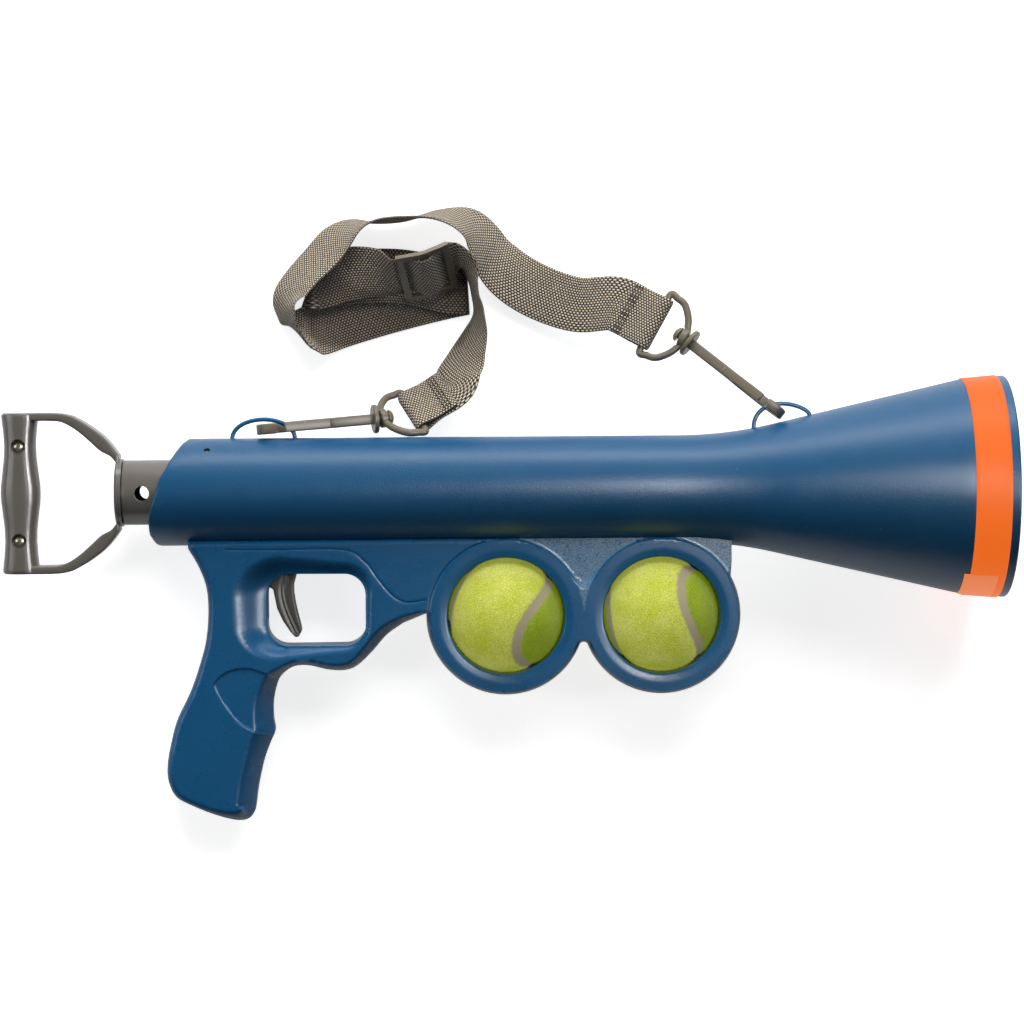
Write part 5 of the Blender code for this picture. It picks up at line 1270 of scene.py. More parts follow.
@dataclass
class LowerBody:
    """The two moulded halves with plate, grip, trigger guard and ball rings, and their screws."""

    barrel: Barrel
    rear_x: float = 12.5 * MM
    front_x: float = 321 * MM
    top_y: float = -26.8 * MM
    half_depth: float = 17 * MM
    grip_span: float = 60 * MM
    grip_drop: float = 160 * MM
    guard: tuple[float, float, float, float] = (57 * MM, 56 * MM, -46.7 * MM, 40.8 * MM)
    guard_corner: float = 12 * MM
    ring_x: float = 192.6 * MM
    ring_pitch: float = 88.6 * MM
    ring_y: float = -71.3 * MM
    ring_radius: float = 45.3 * MM
    ring_face: float = 43.4 * MM
    ball_radius: float = 33 * MM
    seat_radius: float = 28.7 * MM
    seat_depth: float = 9 * MM
    panel_depth: float = 2.5 * MM
    cusp_fillet: float = 2.5 * MM
    grip_shares: tuple = (
        (0, 0.03), (0.1, 0.095), (0.17, 0.168), (0.187, 0.25), (0.17, 0.338), (0.125, 0.414), (0.02, 0.53),
        (-0.115, 0.636), (-0.18, 0.723), (-0.215, 0.8), (-0.205, 0.86), (-0.13, 0.915), (0.04, 0.95), (0.235, 0.98),
        (0.42, 1), (0.53, 1), (0.59, 0.98), (0.61, 0.955), (0.637, 0.882), (0.69, 0.794), (0.747, 0.734),
        (0.8, 0.685), (0.785, 0.638), (0.787, 0.576), (0.83, 0.51), (0.9, 0.474))
    underside_shares: tuple = (
        (0.28, 1.282), (0.425, 1.277), (0.616, 1.336), (0.786, 1.346), (0.911, 1.282), (1.06, 1.093), (1.21, 0.86),
        (1.38, 0.694))
    slope_runs: tuple = (
        (12, 3.2, 5, 0.2), (2, 3.5, 5, 0.2), (1, 4, 6, 0.3), (1, 6, 8, 0.5), (1, 9, 11, 0.8), (1, 10.3, 12, 0.9),
        (3, 10.6, 12, 0.9), (1, 11.4, 12, 0.9), (1, 11.2, 12, 0.9), (1, 10.8, 12, 0.9), (1, 10, 12, 0.9),
        (1, 8, 11, 0.8), (1, 4.6, 9, 0.7), (2, 3.4, 7, 0.6), (1, 3.6, 7, 0.6), (1, 4.2, 8, 0.6), (1, 5, 9, 0.6),
        (2, 6.2, 10, 0.6), (1, 4.6, 9, 0.6))
    finger_panel: tuple = (
        (61, -104.5), (57.5, -102.7), (45.4, -99.1), (33.8, -101.3), (26.6, -108.2), (29.3, -116.7), (38.8, -129.9),
        (48.6, -135.8), (60, -139))
    groove: tuple = (
        (34.7, -32.3), (60, -32.6), (100.3, -32.8), (112.8, -39.5), (119.8, -48.8), (127.9, -58.4), (135.9, -62.8),
        (146.8, -61.8))
    screw_lug_shares: tuple = (0.432, 0.728, 0.951)
    screw_plain_shares: tuple = ((0.04, 0.095), (0.037, 0.885), (0.078, 0.51), (0.368, 0.232))
    lug_screw_y: float = -38.5 * MM
    screw_sink: float = 6 * MM
    screw_bore: float = 3.1 * MM
    finger_step: float = 0.9 * MM
    groove_size: float = 0.45 * MM
    bridge: float = 14 * MM
    bridge_slope: float = 1.3 * MM
    ring_seam: Triple = (0.4 * MM, 0.5 * MM, 0.7 * MM)
    ring_dip: Pair = (0.7 * MM, 5 * MM)
    ring_rounding: Pair = (0.8 * MM, 1.2 * MM)
    screw: tuple[float, float, float, float] = (2.8 * MM, 2 * MM, 1.5 * MM, 17 * MM)
    trigger_room: tuple[float, float, float, float, float] = (4.8 * MM, 33 * MM, 7.5 * MM, 3.9 * MM, 5.5 * MM)
    sear_rooms: tuple = ((22, -41, 37, -20, 3.6), (26, -48, 64, -34, 3.6))
    grid: float = 1.25 * MM
    quick_grid: float = 2.6 * MM

    def ring_centres(self) -> list[Point]:
        """The ball rings' centres."""
        return [(self.ring_x, self.ring_y), (self.ring_x + self.ring_pitch, self.ring_y)]

    def outline(self) -> tuple[Outline, list[float], list[float], list[float]]:
        """The side view's outline.

        Returns:
            The outline, and for each corner the width of its edge's slope, its depth, and how straight it is.
        """
        x, length, top, height = self.guard
        corners = [(self.rear_x, self.top_y)]
        corners += [(self.rear_x + u * self.grip_span, self.top_y - v * self.grip_drop) for u, v in self.grip_shares]
        corners += [(x + u * length, top - v * height) for u, v in self.underside_shares]
        slopes = [row[1:] for row in self.slope_runs for _ in range(row[0])]
        rows = [(*corners[0], *slopes[0])]
        rows += [tuple(p) for p in through([(*c, *s) for c, s in zip(corners[1:], slopes[1:])], 7)]
        rear, front = self.ring_centres()
        half = self.ring_pitch / 2
        drop = sqrt((self.ring_radius + self.cusp_fillet) ** 2 - half ** 2)
        lean = atan2(drop, half)
        end = acos((self.front_x - front[0]) / self.ring_radius)
        rim = arc(rear, self.ring_radius, pi * 0.99, tau - lean, 90)
        rim += arc((self.ring_x + half, self.ring_y - drop), self.cusp_fillet, pi - lean, lean, 8)[1:-1]
        rim += arc(front, self.ring_radius, -pi + lean, end, 90)
        rows += [(*p, 2.1, 10, 0.5) for p in rim]
        rows += [(self.front_x, y, 1.0, 1.2, 0) for y in (self.ring_y + 32 * MM, self.top_y)]
        return (
            [r[:2] for r in rows], [r[2] * MM for r in rows], [r[3] * MM for r in rows], [r[4] for r in rows])

    def guard_outline(self) -> Outline:
        """The trigger guard's opening."""
        x, length, top, height = self.guard
        corner, quarter = self.guard_corner, pi / 2
        result = []
        for i, centre in enumerate((
                (x + length - corner, top - corner), (x + corner, top - corner),
                (x + corner, top - height + corner), (x + length - corner, top - height + corner))):
            result += arc(centre, corner, quarter * i, quarter * (i + 1), 14)
        return result

    def relief(self, points: Array) -> Array:
        """The height of a half's face, over the parting plane."""
        outline, *edges = self.outline()
        distance, width, depth, line = edge_values(points, np.array(outline), *edges)
        near = np.clip(1 - distance / np.maximum(width, 0.2 * MM), 0, 1)
        drop = depth * ((1 - line) * (1 - np.sqrt(1 - near ** 2)) + line * near ** 1.15)
        # The scooped surround of the trigger guard's opening: wide and deep at the rear, narrow elsewhere.
        guard = np.array(self.guard_outline())
        x, length, top, height = self.guard
        way = (guard - (x + length / 2, top - height / 2)) / (length / 2, height / 2)
        rear, upper = np.maximum(-way[:, 0], 0) ** 2, np.maximum(way[:, 1], 0) ** 2
        width = (3.3 + 17.5 * rear * (0.6 + 0.4 * (1 - way[:, 1] ** 2)) + 4 * upper) * MM
        apart, scoop, bowl = edge_values(points, guard, width, (2 + 7.5 * rear + 4 * upper) * MM)
        drop = np.maximum(drop, bowl * (1 - smoothstep(apart / scoop)))
        # The finger panel, a step down inside its line.
        panel = line_through(self.finger_panel)
        region = np.vstack([panel, [(75 * MM, -139 * MM), (75 * MM, -100 * MM)]])
        step = np.where(inside(points, region), nearest(points, panel, False)[0], 0)
        drop += self.finger_step * smoothstep(step / MM)
        # The fine groove over the guard.
        away = nearest(points, line_through(self.groove), False)[0]
        drop += self.groove_size * np.exp(-(away / self.groove_size) ** 2)
        # The rings stand over the recessed panels between them, joined by a soft bridge.
        rings = [np.linalg.norm(points - np.array(c), axis=1) for c in self.ring_centres()]
        own, blend = np.min(rings, axis=0), self.bridge
        mix = np.maximum(blend - np.abs(rings[0] - rings[1]), 0) / blend
        beyond = own - mix ** 2 * blend / 4 - self.ring_face
        in_panel = (points[:, 0] > self.ring_x) & (points[:, 1] > self.ring_y)
        recess = self.panel_depth * smoothstep(beyond / self.bridge_slope) * in_panel
        drop = np.where(in_panel & (beyond > 0), np.maximum(drop, recess), drop)
        away, width, depth = self.ring_seam
        seam = np.exp(-((beyond - away) / width) ** 2) * (points[:, 0] <= self.ring_x)
        drop += depth * seam * (points[:, 1] > self.ring_y - 8 * MM)
        # Each ring's face dips a little towards its ball and is rounded at its opening.
        within = own - self.ball_radius - GAP
        (dip, dip_width), (edge, edge_width) = self.ring_dip, self.ring_rounding
        drop += dip * (1 - smoothstep(within / dip_width)) * (own < self.ring_face)
        drop += edge * (1 - np.sqrt(1 - np.clip(1 - within / edge_width, 0, 1) ** 2))
        return self.half_depth - drop

    def screw_places(self) -> list[Point]:
        """Where the halves are screwed together."""
        span = self.front_x - self.rear_x
        places = [(self.rear_x + share * span, self.lug_screw_y) for share in self.screw_lug_shares]
        places += [
            (self.rear_x + x * span, self.top_y - y * self.grip_drop) for x, y in self.screw_plain_shares]
        return [*places, (self.ring_x + self.ring_pitch / 2, self.ring_y)]

    def half(self, face: Face) -> Mesh:
        """One half, as a closed solid with its relief outside."""
        bore, walls = self.ball_radius + GAP, []
        if face is Face.FAR:
            bore, cone = self.seat_radius, self.ball_radius + GAP - self.seat_radius
            walls = [[], *[[(-cone, self.seat_depth), (-cone, GAP / 2)]] * 2]
        holes = [self.guard_outline()]
        holes += [arc(centre, bore, 0, tau * 179 / 180, 179) for centre in self.ring_centres()]
        lines = [line_through(self.finger_panel), line_through(self.groove)]
        lines += [
            arc(centre, self.ring_face + 0.5 * MM, radians(20), radians(200), 120)
            for centre in self.ring_centres()]
        mesh = Moulding(
            self.outline()[0], self.relief, holes, back=GAP / 2, walls=walls, lines=lines,
            grid=self.grid,
            rows=(0.3 * MM, 0.8 * MM, 1.5 * MM, 2.4 * MM)).build()
        if face is Face.FAR:
            mesh.transform(Matrix.Diagonal((1, 1, -1, 1)))
            mesh.flip_normals()
        return mesh

    def build(self) -> None:
        """Build and dress the halves and their screws."""
        path = self.barrel.side(GAP)
        seat = turned([(-20 * MM, 0), (-20 * MM, path[0][1]), *path[1:], (path[-1][0], 0)], 128)
        x, _, top, _ = self.guard
        pivot_x, pivot_y = TRIGGER_PIVOT
        rear, under, front, over, half = self.trigger_room
        room = [box((x - rear, pivot_y - under, -half), (pivot_x + front, top + over, half))]
        room += [
            box((x0 * MM, y0 * MM, -z * MM), (x1 * MM, y1 * MM, z * MM)) for x0, y0, x1, y1, z in self.sear_rooms]
        for face, side in ((Face.NEAR, "near"), (Face.FAR, "far")):
            cutters = [m.copy() for m in (seat, *room)]
            if face is Face.FAR:
                low, high = -self.half_depth - MM, -self.half_depth + self.screw_sink
                cutters += [rod(self.screw_bore, (*place, low), (*place, high), 28) for place in self.screw_places()]
            mesh = combined(self.half(face), "DIFFERENCE", cutters)
            self.mark_panels(mesh)
            finish_piece(mesh, f"lower_body_{side}", ABS, BODY, (f"body_{side}",), sharp=42)
        self.screws()

    def mark_panels(self, mesh: Mesh) -> None:
        """Mark the textured fields between the rings and the barrel, whose colour painted light lightens."""
        x, y, z = places_of(mesh).T
        own = np.min([np.hypot(x - cx, y - cy) for cx, cy in self.ring_centres()], axis=0)
        held = (own > self.ring_face + MM) & (x > self.ring_x) & (y > self.ring_y) & (x < self.front_x - 0.2 * MM)
        set_value(mesh, "painted_shading", held & (np.abs(z) > self.half_depth - 1.2 * self.panel_depth))

    def screws(self) -> None:
        """The halves' screws, deep in their holes on the far side."""
        head_top = -self.half_depth + self.screw_sink - GAP
        places = [LAUNCHER @ Vector((*place, head_top)) for place in self.screw_places()]
        turn = (LAUNCHER.to_3x3() @ Matrix.Rotation(pi, 3, "X")).to_euler()
        mesh = copies_at(cross_head(*self.screw), places, turn, STEEL)
        finish_piece(mesh, "body_screws", STEEL, BODY, [f"body_screw_{i}" for i in range(1, 9)], HERE)


def cross_head(head_radius: float, head_height: float, shank_radius: float, shank_length: float) -> Mesh:
    """A pan-head screw with a cross recess, its head up and its shoulder at the origin.

    Args:
        head_radius: the head's radius.
        head_height: the head's height.
        shank_radius: the shank's radius.
        shank_length: the shank's length.

    Returns:
        The screw's mesh.
    """
    dome = [
        (head_height * (0.35 + 0.65 * sin(a)), head_radius * cos(a))
        for a in np.linspace(0, pi / 2, 7)]
    profile = [(-shank_length, 0), (-shank_length + shank_radius, shank_radius), (0, shank_radius), (0, head_radius)]
    screw = turned([*profile, *dome[:-1], (head_height, 0)], 28, "Z")
    arm, width = head_radius * 0.6, head_radius * 0.13
    low, high = head_height * 0.35, head_height * 1.2
    slots = [box((-x, -y, low), (x, y, high)) for x, y in ((arm, width), (width, arm))]
    return combined(screw, "DIFFERENCE", slots)


# ---- Tennis balls ----


@dataclass
class TennisBalls:
    """The spare balls in their rings."""

    body: LowerBody
    radius: float = 32.4 * MM
    seam_width: float = 5.6 * MM
    seam_depth: float = 0.5 * MM
    seam_slope: float = 1.2 * MM
    nap_length: float = 1.3 * MM
    nap_radius: float = 0.09 * MM
    nap_density: float = 1.6e6
    quick_density: float = 3e5
    first_seed: int = 7
    lobes: Pair = (0.85, 0.15)
    turns: tuple = ((-0.6713, 0.0369, 2.0842), (3.0458, -2.4815, 2.5032))

    def seam(self) -> Array:
        """The seam's line on a unit ball."""
        t = np.linspace(0, tau, 360, endpoint=False)
        a, b = self.lobes
        line = np.stack([
            a * np.cos(t) + b * np.cos(3 * t), a * np.sin(t) - b * np.sin(3 * t),
            2 * sqrt(a * b) * np.sin(2 * t)], 1)
        return line / np.linalg.norm(line, axis=1)[:, None]

    def ball(self, turn: Sequence[float]) -> Mesh:
        """A ball round the origin, with its seam sunk and marked."""
        shape = bmesh.new()
        bmesh.ops.create_icosphere(shape, subdivisions=6, radius=1)
        mesh = written(shape)
        ways = places_of(mesh)
        turning = np.array(Euler(turn).to_matrix())
        line = self.seam() @ turning.T
        away = np.concatenate([
            np.arccos(np.clip((part @ line.T).max(1), -1, 1)) for part in np.array_split(ways, 20)]) * self.radius
        beyond = away - self.seam_width / 2
        groove = 1 - smoothstep(beyond / self.seam_slope)
        mesh.vertices.foreach_set("co", (ways * (self.radius - self.seam_depth * groove)[:, None]).ravel())
        set_value(mesh, "seam", 1 - smoothstep((beyond + 0.3 * MM) / (0.6 * MM)))
        # The sign of this surface through the seam tells one felt panel from the other.
        a, b = self.lobes
        x, y, z = (ways @ turning).T
        height = z / (2 * sqrt(a * b))
        set_value(mesh, "panel", x * y - (a - 3 * b) / 2 * height - 2 * b * b * height ** 3 > 0)
        return mesh

    def build(self) -> None:
        """Build and dress both balls and their nap."""
        density = self.nap_density
        for number, (x, y) in enumerate(self.body.ring_centres()):
            name = ("ball_rear", "ball_front")[number]
            mesh = self.ball(self.turns[number])
            fibres = nap(mesh, density, self.nap_length, self.nap_radius, self.first_seed + number)
            placing = LAUNCHER @ Matrix.Translation((x, y, 0))
            finish_piece(mesh, name + "_felt", FELT, name, (name,), placing, 180)
            finish_piece(fibres, name + "_nap", FELT, name, (), placing, 180)


# ---- Plunger and handle ----


@dataclass
class Plunger:
    """The pull tube, what is on its front end and the D-handle."""

    tube_radius: float = 18.5 * MM
    tube_wall: float = 2 * MM
    tube_rear: float = -24.4 * MM
    tube_front: float = 286 * MM
    hole_x: float = -12.9 * MM
    hole_radius: float = 4.25 * MM
    half_height: float = 45.7 * MM
    bar_x: float = -83.2 * MM
    bar_width: float = 22.4 * MM
    bar_half_depth: float = 10.5 * MM
    bar_power: float = 0.8
    bar_shares: tuple = (
        (0, 1), (0.1, 0.985), (0.3, 0.885), (0.45, 0.815), (0.6, 0.795), (0.75, 0.835), (0.88, 0.895), (1, 0.94))
    arm_half_depth: float = 9 * MM
    flange_radius: float = 19.3 * MM
    flange_length: float = 3.8 * MM
    sear_catch: Triple = (158.5 * MM, 165.5 * MM, 3.5 * MM)
    tongue: Triple = (12 * MM, 30 * MM, 5 * MM)
    screw_y: float = 26.8 * MM
    screw_turn: float = radians(28)
    screw: tuple[float, float, float, float] = (2.7 * MM, 1.7 * MM, 1.5 * MM, 8 * MM)
    recess_radius: float = 4.2 * MM
    recess_depth: float = 2.9 * MM
    arm_outer_shares: tuple = (
        (-0.3, 1), (0.18, 1), (0.37, 0.975), (0.47, 0.935), (0.63, 0.84), (0.79, 0.72), (0.9, 0.605), (1, 0.47))
    arm_inner_shares: tuple = (
        (1, 0.33), (0.9, 0.455), (0.78, 0.52), (0.64, 0.645), (0.5, 0.765), (0.34, 0.865), (0.18, 0.9), (-0.3, 0.9))

    def tube(self) -> Mesh:
        """The pull tube with its cross hole and its catch for the sear."""
        rear, front, radius, edge = self.tube_rear, self.tube_front, self.tube_radius, 0.8 * MM
        bore = radius - self.tube_wall
        profile = [
            (rear, radius - edge), (rear + edge * 0.3, radius - edge * 0.3), (rear + edge, radius), (front, radius),
            (front, bore), (rear, bore)]
        hole = rod(self.hole_radius, (self.hole_x, 0, -2 * radius), (self.hole_x, 0, 2 * radius), 48)
        start, end, half = self.sear_catch
        catch = box((start, -radius * 1.2, -half), (end, -radius * 0.5, half))
        return combined(turned(profile, closed=True), "DIFFERENCE", [hole, catch])

    def bar(self, face: Face) -> Mesh:
        """One half of the handle's bar, oval in section and waisted along its length."""
        places, sizes = np.array(self.bar_shares).T
        rows, count, low = 89, 41, GAP / 2
        points = []
        # The bar narrows to nine tenths over its last 3.5 per cent, and its depth follows its width a little.
        for share in np.linspace(-1, 1, rows):
            size = float(np.interp(abs(share), places, sizes))
            end = min(1.0, (1 - abs(share)) / 0.035)
            pull = 0.9 + 0.1 * sqrt(max(0.0, 1 - (1 - end) ** 2))
            deep = self.bar_half_depth * (0.93 + 0.07 * size)
            for i in range(count):
                angle = pi * i / (count - 1)
                c, s = cos(angle), sin(angle)
                x = self.bar_width / 2 * size * pull * copysign(abs(c) ** self.bar_power, c)
                z = low + (deep - low) * pull * s ** self.bar_power
                points.append((self.bar_x + x, self.half_height * share, z * face.value))
        return mesh_of(points, quads(rows, count, around=False) + caps(len(points), count))

    def arm(self, side: int) -> Mesh:
        """One arm of the handle, flat with rounded edges."""
        start = self.bar_x + self.bar_width / 2
        length = self.tube_rear - GAP - self.flange_length / 2 - start
        outline = np.array([
            tuple(p) for shares in (self.arm_outer_shares, self.arm_inner_shares)
            for p in through([(start + length * x, side * self.half_height * y) for x, y in shares], 6)])
        edge = 1.1 * MM
        return Moulding(
            outline, lambda points: self.arm_half_depth - edge * rounding(points, outline, edge), grid=1.4 * MM,
            rows=(0.2 * MM, 0.5 * MM, 0.9 * MM), edge_step=0.8 * MM).build()

    def handle(self) -> None:
        """Build and dress the D-handle."""
        front, reach = self.tube_rear - GAP, self.flange_radius
        rear = front - self.flange_length
        parts = [
            self.arm(1), self.arm(-1),
            turned([(rear, 0), (rear, reach - MM), (rear + MM, reach), (front, reach), (front, 0)])]
        inner = self.tube_radius - self.tube_wall - GAP
        root, tip, half = self.tongue
        for side in (1, -1):
            low, high = sorted((side * root, side * (inner - MM)))
            parts.append(box((front - MM, low, -half), (front + tip, high, half)))
        body = combined(self.bar(Face.FAR), "UNION", parts)
        finish_piece(body, "handle_body", GREY, PLUNGER, ("handle_frame",), sharp=40)
        floor = self.bar_half_depth - self.recess_depth
        spots = [(self.bar_x, side * self.screw_y) for side in (1, -1)]
        recesses = [rod(self.recess_radius, (*spot, floor), (*spot, 2 * self.bar_half_depth), 40) for spot in spots]
        cover = combined(self.bar(Face.NEAR), "DIFFERENCE", recesses)
        finish_piece(cover, "handle_front_shell", GREY, PLUNGER, ("handle_cover",), sharp=40)
        places = [LAUNCHER @ Vector((*spot, floor)) for spot in spots]
        turn = (LAUNCHER.to_3x3() @ Matrix.Rotation(self.screw_turn, 3, "Z")).to_euler()
        mesh = copies_at(cross_head(*self.screw), places, turn, STEEL)
        finish_piece(mesh, "handle_screws", STEEL, PLUNGER, ("handle_screw_upper", "handle_screw_lower"), HERE)

    def build(self) -> None:
        """Build and dress every piece that is drawn back."""
        finish_piece(self.tube(), "draw_tube", GREY, PLUNGER, ("pull_tube",), sharp=40)
        self.handle()
        dress_node("plunger_head", "piston", WHITE, PLUNGER, 0.4 * MM)
        dress_node("plunger_pad", "piston_pad", RUBBER, PLUNGER, 0.5 * MM)
        dress_node("plunger_screw", "piston_screw", STEEL, PLUNGER, 0.2 * MM)
        for side in ("upper", "lower"):
            dress_node(f"handle_rivet_{side}", f"tongue_rivet_{side}", STEEL, PLUNGER, 0.2 * MM)


# ---- Trigger and sear ----


@dataclass
class TriggerGroup:
    """The trigger, the sear, their pins and springs."""

    spring_seat: float = 106.9 * MM
    spring_length: float = 177.5 * MM
    spring_travel: float = 130 * MM
    drop: float = 45 * MM
    half_width: float = 5 * MM
    pin_bore: float = 1.8 * MM
    side_groove: Pair = (0.7 * MM, 1.2 * MM)
    shares: tuple = (
        (0.07, -0.19), (0.04, -0.3), (0.04, -0.4), (0.06, -0.53), (0.09, -0.67), (0.127, -0.81), (0.138, -0.885),
        (0.1, -0.96), (0.06, -0.97), (0, -0.91), (-0.1, -0.76), (-0.173, -0.6), (-0.22, -0.36), (-0.29, -0.32),
        (-0.21, -0.18), (-0.25, -0.12), (-0.27, -0.06), (-0.2, -0.03), (-0.11, 0.01), (-0.08, 0.08), (0, 0.105),
        (0.1, 0.055), (0.11, -0.055))
    ridge: tuple = ((-0.06, -0.2), (-0.1, -0.36), (-0.07, -0.55), (0.0, -0.74), (0.07, -0.9))

    def blade(self) -> Mesh:
        """The trigger with the groove and ridge along its sides."""
        x, y = TRIGGER_PIVOT
        shape, ridge = (
            [(x + u * self.drop, y + v * self.drop) for u, v in shares] for shares in (self.shares, self.ridge))
        outline = evenly(shape, 0.6 * MM)
        ridge = np.array([tuple(p) for p in through(ridge, 8)])

        def relief(points: Array) -> Array:
            """The height of the blade's side."""
            away, (size, beside) = nearest(points, ridge, False)[0], self.side_groove
            groove = size * np.exp(-((away - beside) / size) ** 2)
            return self.half_width - MM * rounding(points, outline, MM) - groove

        blade = Moulding(
            outline, relief, grid=0.8 * MM, rows=(0.15 * MM, 0.4 * MM, 0.8 * MM), edge_step=0.6 * MM,
            lines=[ridge]).build()
        hole = rod(self.pin_bore, (x, y, -2 * self.half_width), (x, y, 2 * self.half_width), 24)
        return combined(blade, "DIFFERENCE", [hole])

    def build(self) -> None:
        """Build and dress the group."""
        finish_piece(self.blade(), "trigger_blade", DARK, "trigger", ("trigger",), sharp=45)
        dress_node("sear", "sear_catch", WHITE, "sear", 0.25 * MM)
        spring = dress_node("main_spring", "drive_spring", STEEL, BODY, 0)
        axis, anchor = LAUNCHER.to_3x3() @ Vector((-1, 0, 0)), LAUNCHER @ Vector((self.spring_seat, 0, 0))
        tuple(axis)
        tuple(anchor)
        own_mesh(spring)
        for name in ("trigger", "sear"):
            dress_node(f"{name}_pin", f"{name}_pivot_pin", STEEL, BODY, 0.2 * MM)
            dress_node(f"{name}_spring", f"{name}_return_spring", STEEL, BODY, 0)


# ---- Snap hooks ----


@dataclass
class SnapHook:
    """A plastic snap hook with its spindle, gate and swivelling ring, in its own frame."""

    name: str
    ring_roll: float
    ring_lean: float = radians(10)
    length: float = 73.5 * MM
    bar: float = 5 * MM
    half_width: float = 3 * MM
    path_shares: tuple = (
        (0.06, 0), (0.44, 0), (0.6, -0.07), (0.8, -0.1), (0.92, -0.07), (0.965, 0.01), (0.94, 0.09), (0.86, 0.135))
    gate_shares: tuple = ((0.43, 0.09), (0.8, 0.155))
    lug_shares: tuple = ((0.4, 0), (0.425, 0.066))
    gate_thickness: float = 2.2 * MM
    gate_half_width: float = 2.6 * MM
    lug_width: float = 3 * MM
    collar: Pair = (8.3 * MM, 2.6 * MM)
    pin_radius: float = 2.2 * MM
    pin_head: Pair = (4.6 * MM, 3 * MM)
    ring_play: float = 1.3 * MM
    ring_base: Pair = (5.4 * MM, 2 * MM)
    ring_bore: float = 3 * MM
    edge: float = 0.5 * MM
    ring_bar: float = 2.1 * MM
    ring_width: float = 37.5 * MM
    ring_reach: float = 19 * MM
    ring_shares: tuple = (
        (0, 0.12), (0.16, 0.3), (0.45, 0.46), (0.75, 0.5), (1, 0.5), (1, 0.17), (1, -0.17), (1, -0.5), (0.75, -0.5),
        (0.45, -0.46), (0.16, -0.3), (0, -0.12))

    def band(self, shares: Sequence[Point], width: float, half_width: float, edge: float) -> Mesh:
        """A bar of the hook: a stroke along shares of its length, rounded on its edges, in the X-Z plane."""
        outline = np.array(stroke(through([(x * self.length, y * self.length) for x, y in shares], 8), width))
        mesh = Moulding(
            outline, lambda points: half_width - edge * rounding(points, outline, edge), grid=MM,
            rows=(0.2 * edge, 0.5 * edge, edge), edge_step=0.7 * MM).build()
        mesh.transform(Matrix.Rotation(pi / 2, 4, "X"))
        return mesh

    def body(self) -> Mesh:
        """The hook's body with its collar, spindle and rivet head."""
        collar_radius, collar_length = self.collar
        head_radius, head_length = self.pin_head
        rear = self.ring_base[1] + self.ring_play
        front, head, edge = rear + collar_length, -rear, self.edge
        dome = [
            (head - head_length * sin(a), head_radius * cos(a)) for a in np.linspace(0, pi / 2, 9)[:-1]]
        spindle = turned([
            (front + self.bar, 0), (front + self.bar, self.pin_radius), (front, self.pin_radius),
            (front, collar_radius - edge), (front - edge, collar_radius), (rear + edge, collar_radius),
            (rear, collar_radius - edge), (rear, self.pin_radius), (head, self.pin_radius), *dome,
            (head - head_length, 0)], 48)
        lug = self.band(self.lug_shares, self.lug_width, self.gate_half_width, edge)
        return combined(self.band(self.path_shares, self.bar, self.half_width, MM), "UNION", [spindle, lug])

    def ring(self) -> Mesh:
        """The D-ring with the base that turns on the spindle."""
        points = through([(-x * self.ring_reach, y * self.ring_width, 0) for x, y in self.ring_shares], 6)
        (radius, half), edge = self.ring_base, self.edge
        base = turned([
            (-half, 0), (-half, radius - edge), (-half + edge, radius), (half - edge, radius), (half, radius - edge),
            (half, 0)], 40)
        solid = combined(wire(points, self.ring_bar, closed=True, sides=5), "UNION", [base])
        return combined(solid, "DIFFERENCE", [
            rod(self.ring_bore, (-2 * self.ring_bar - MM, 0, 0), (2 * self.ring_bar + MM, 0, 0)),
            box((half, -self.ring_width, -self.ring_width), (self.ring_reach, self.ring_width, self.ring_width)),
            rod(self.pin_head[0] + self.ring_play, (-self.ring_reach / 2, 0, 0), (-half, 0, 0))])

    def ring_frame(self) -> Matrix:
        """The ring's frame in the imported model."""
        roll, lean = Matrix.Rotation(self.ring_roll, 4, "X"), Matrix.Rotation(self.ring_lean, 4, "Z")
        return hook_frame(self.name) @ roll @ lean

    def build(self) -> None:
        """Build and dress the hook."""
        name, placing = self.name, hook_frame(self.name)
        finish_piece(self.body(), f"{name}_body", TAUPE, name, (name,), placing)
        gate = self.band(self.gate_shares, self.gate_thickness, self.gate_half_width, self.edge)
        finish_piece(gate, f"{name}_gate_leaf", TAUPE, f"{name}_gate", (f"{name}_gate",), placing)
        finish_piece(self.ring(), f"{name}_dee", TAUPE, BODY, (f"{name}_ring",), self.ring_frame())


# ---- Strap ----


Place = tuple[Vector, Vector]
Station = tuple[Vector, Vector, Vector]


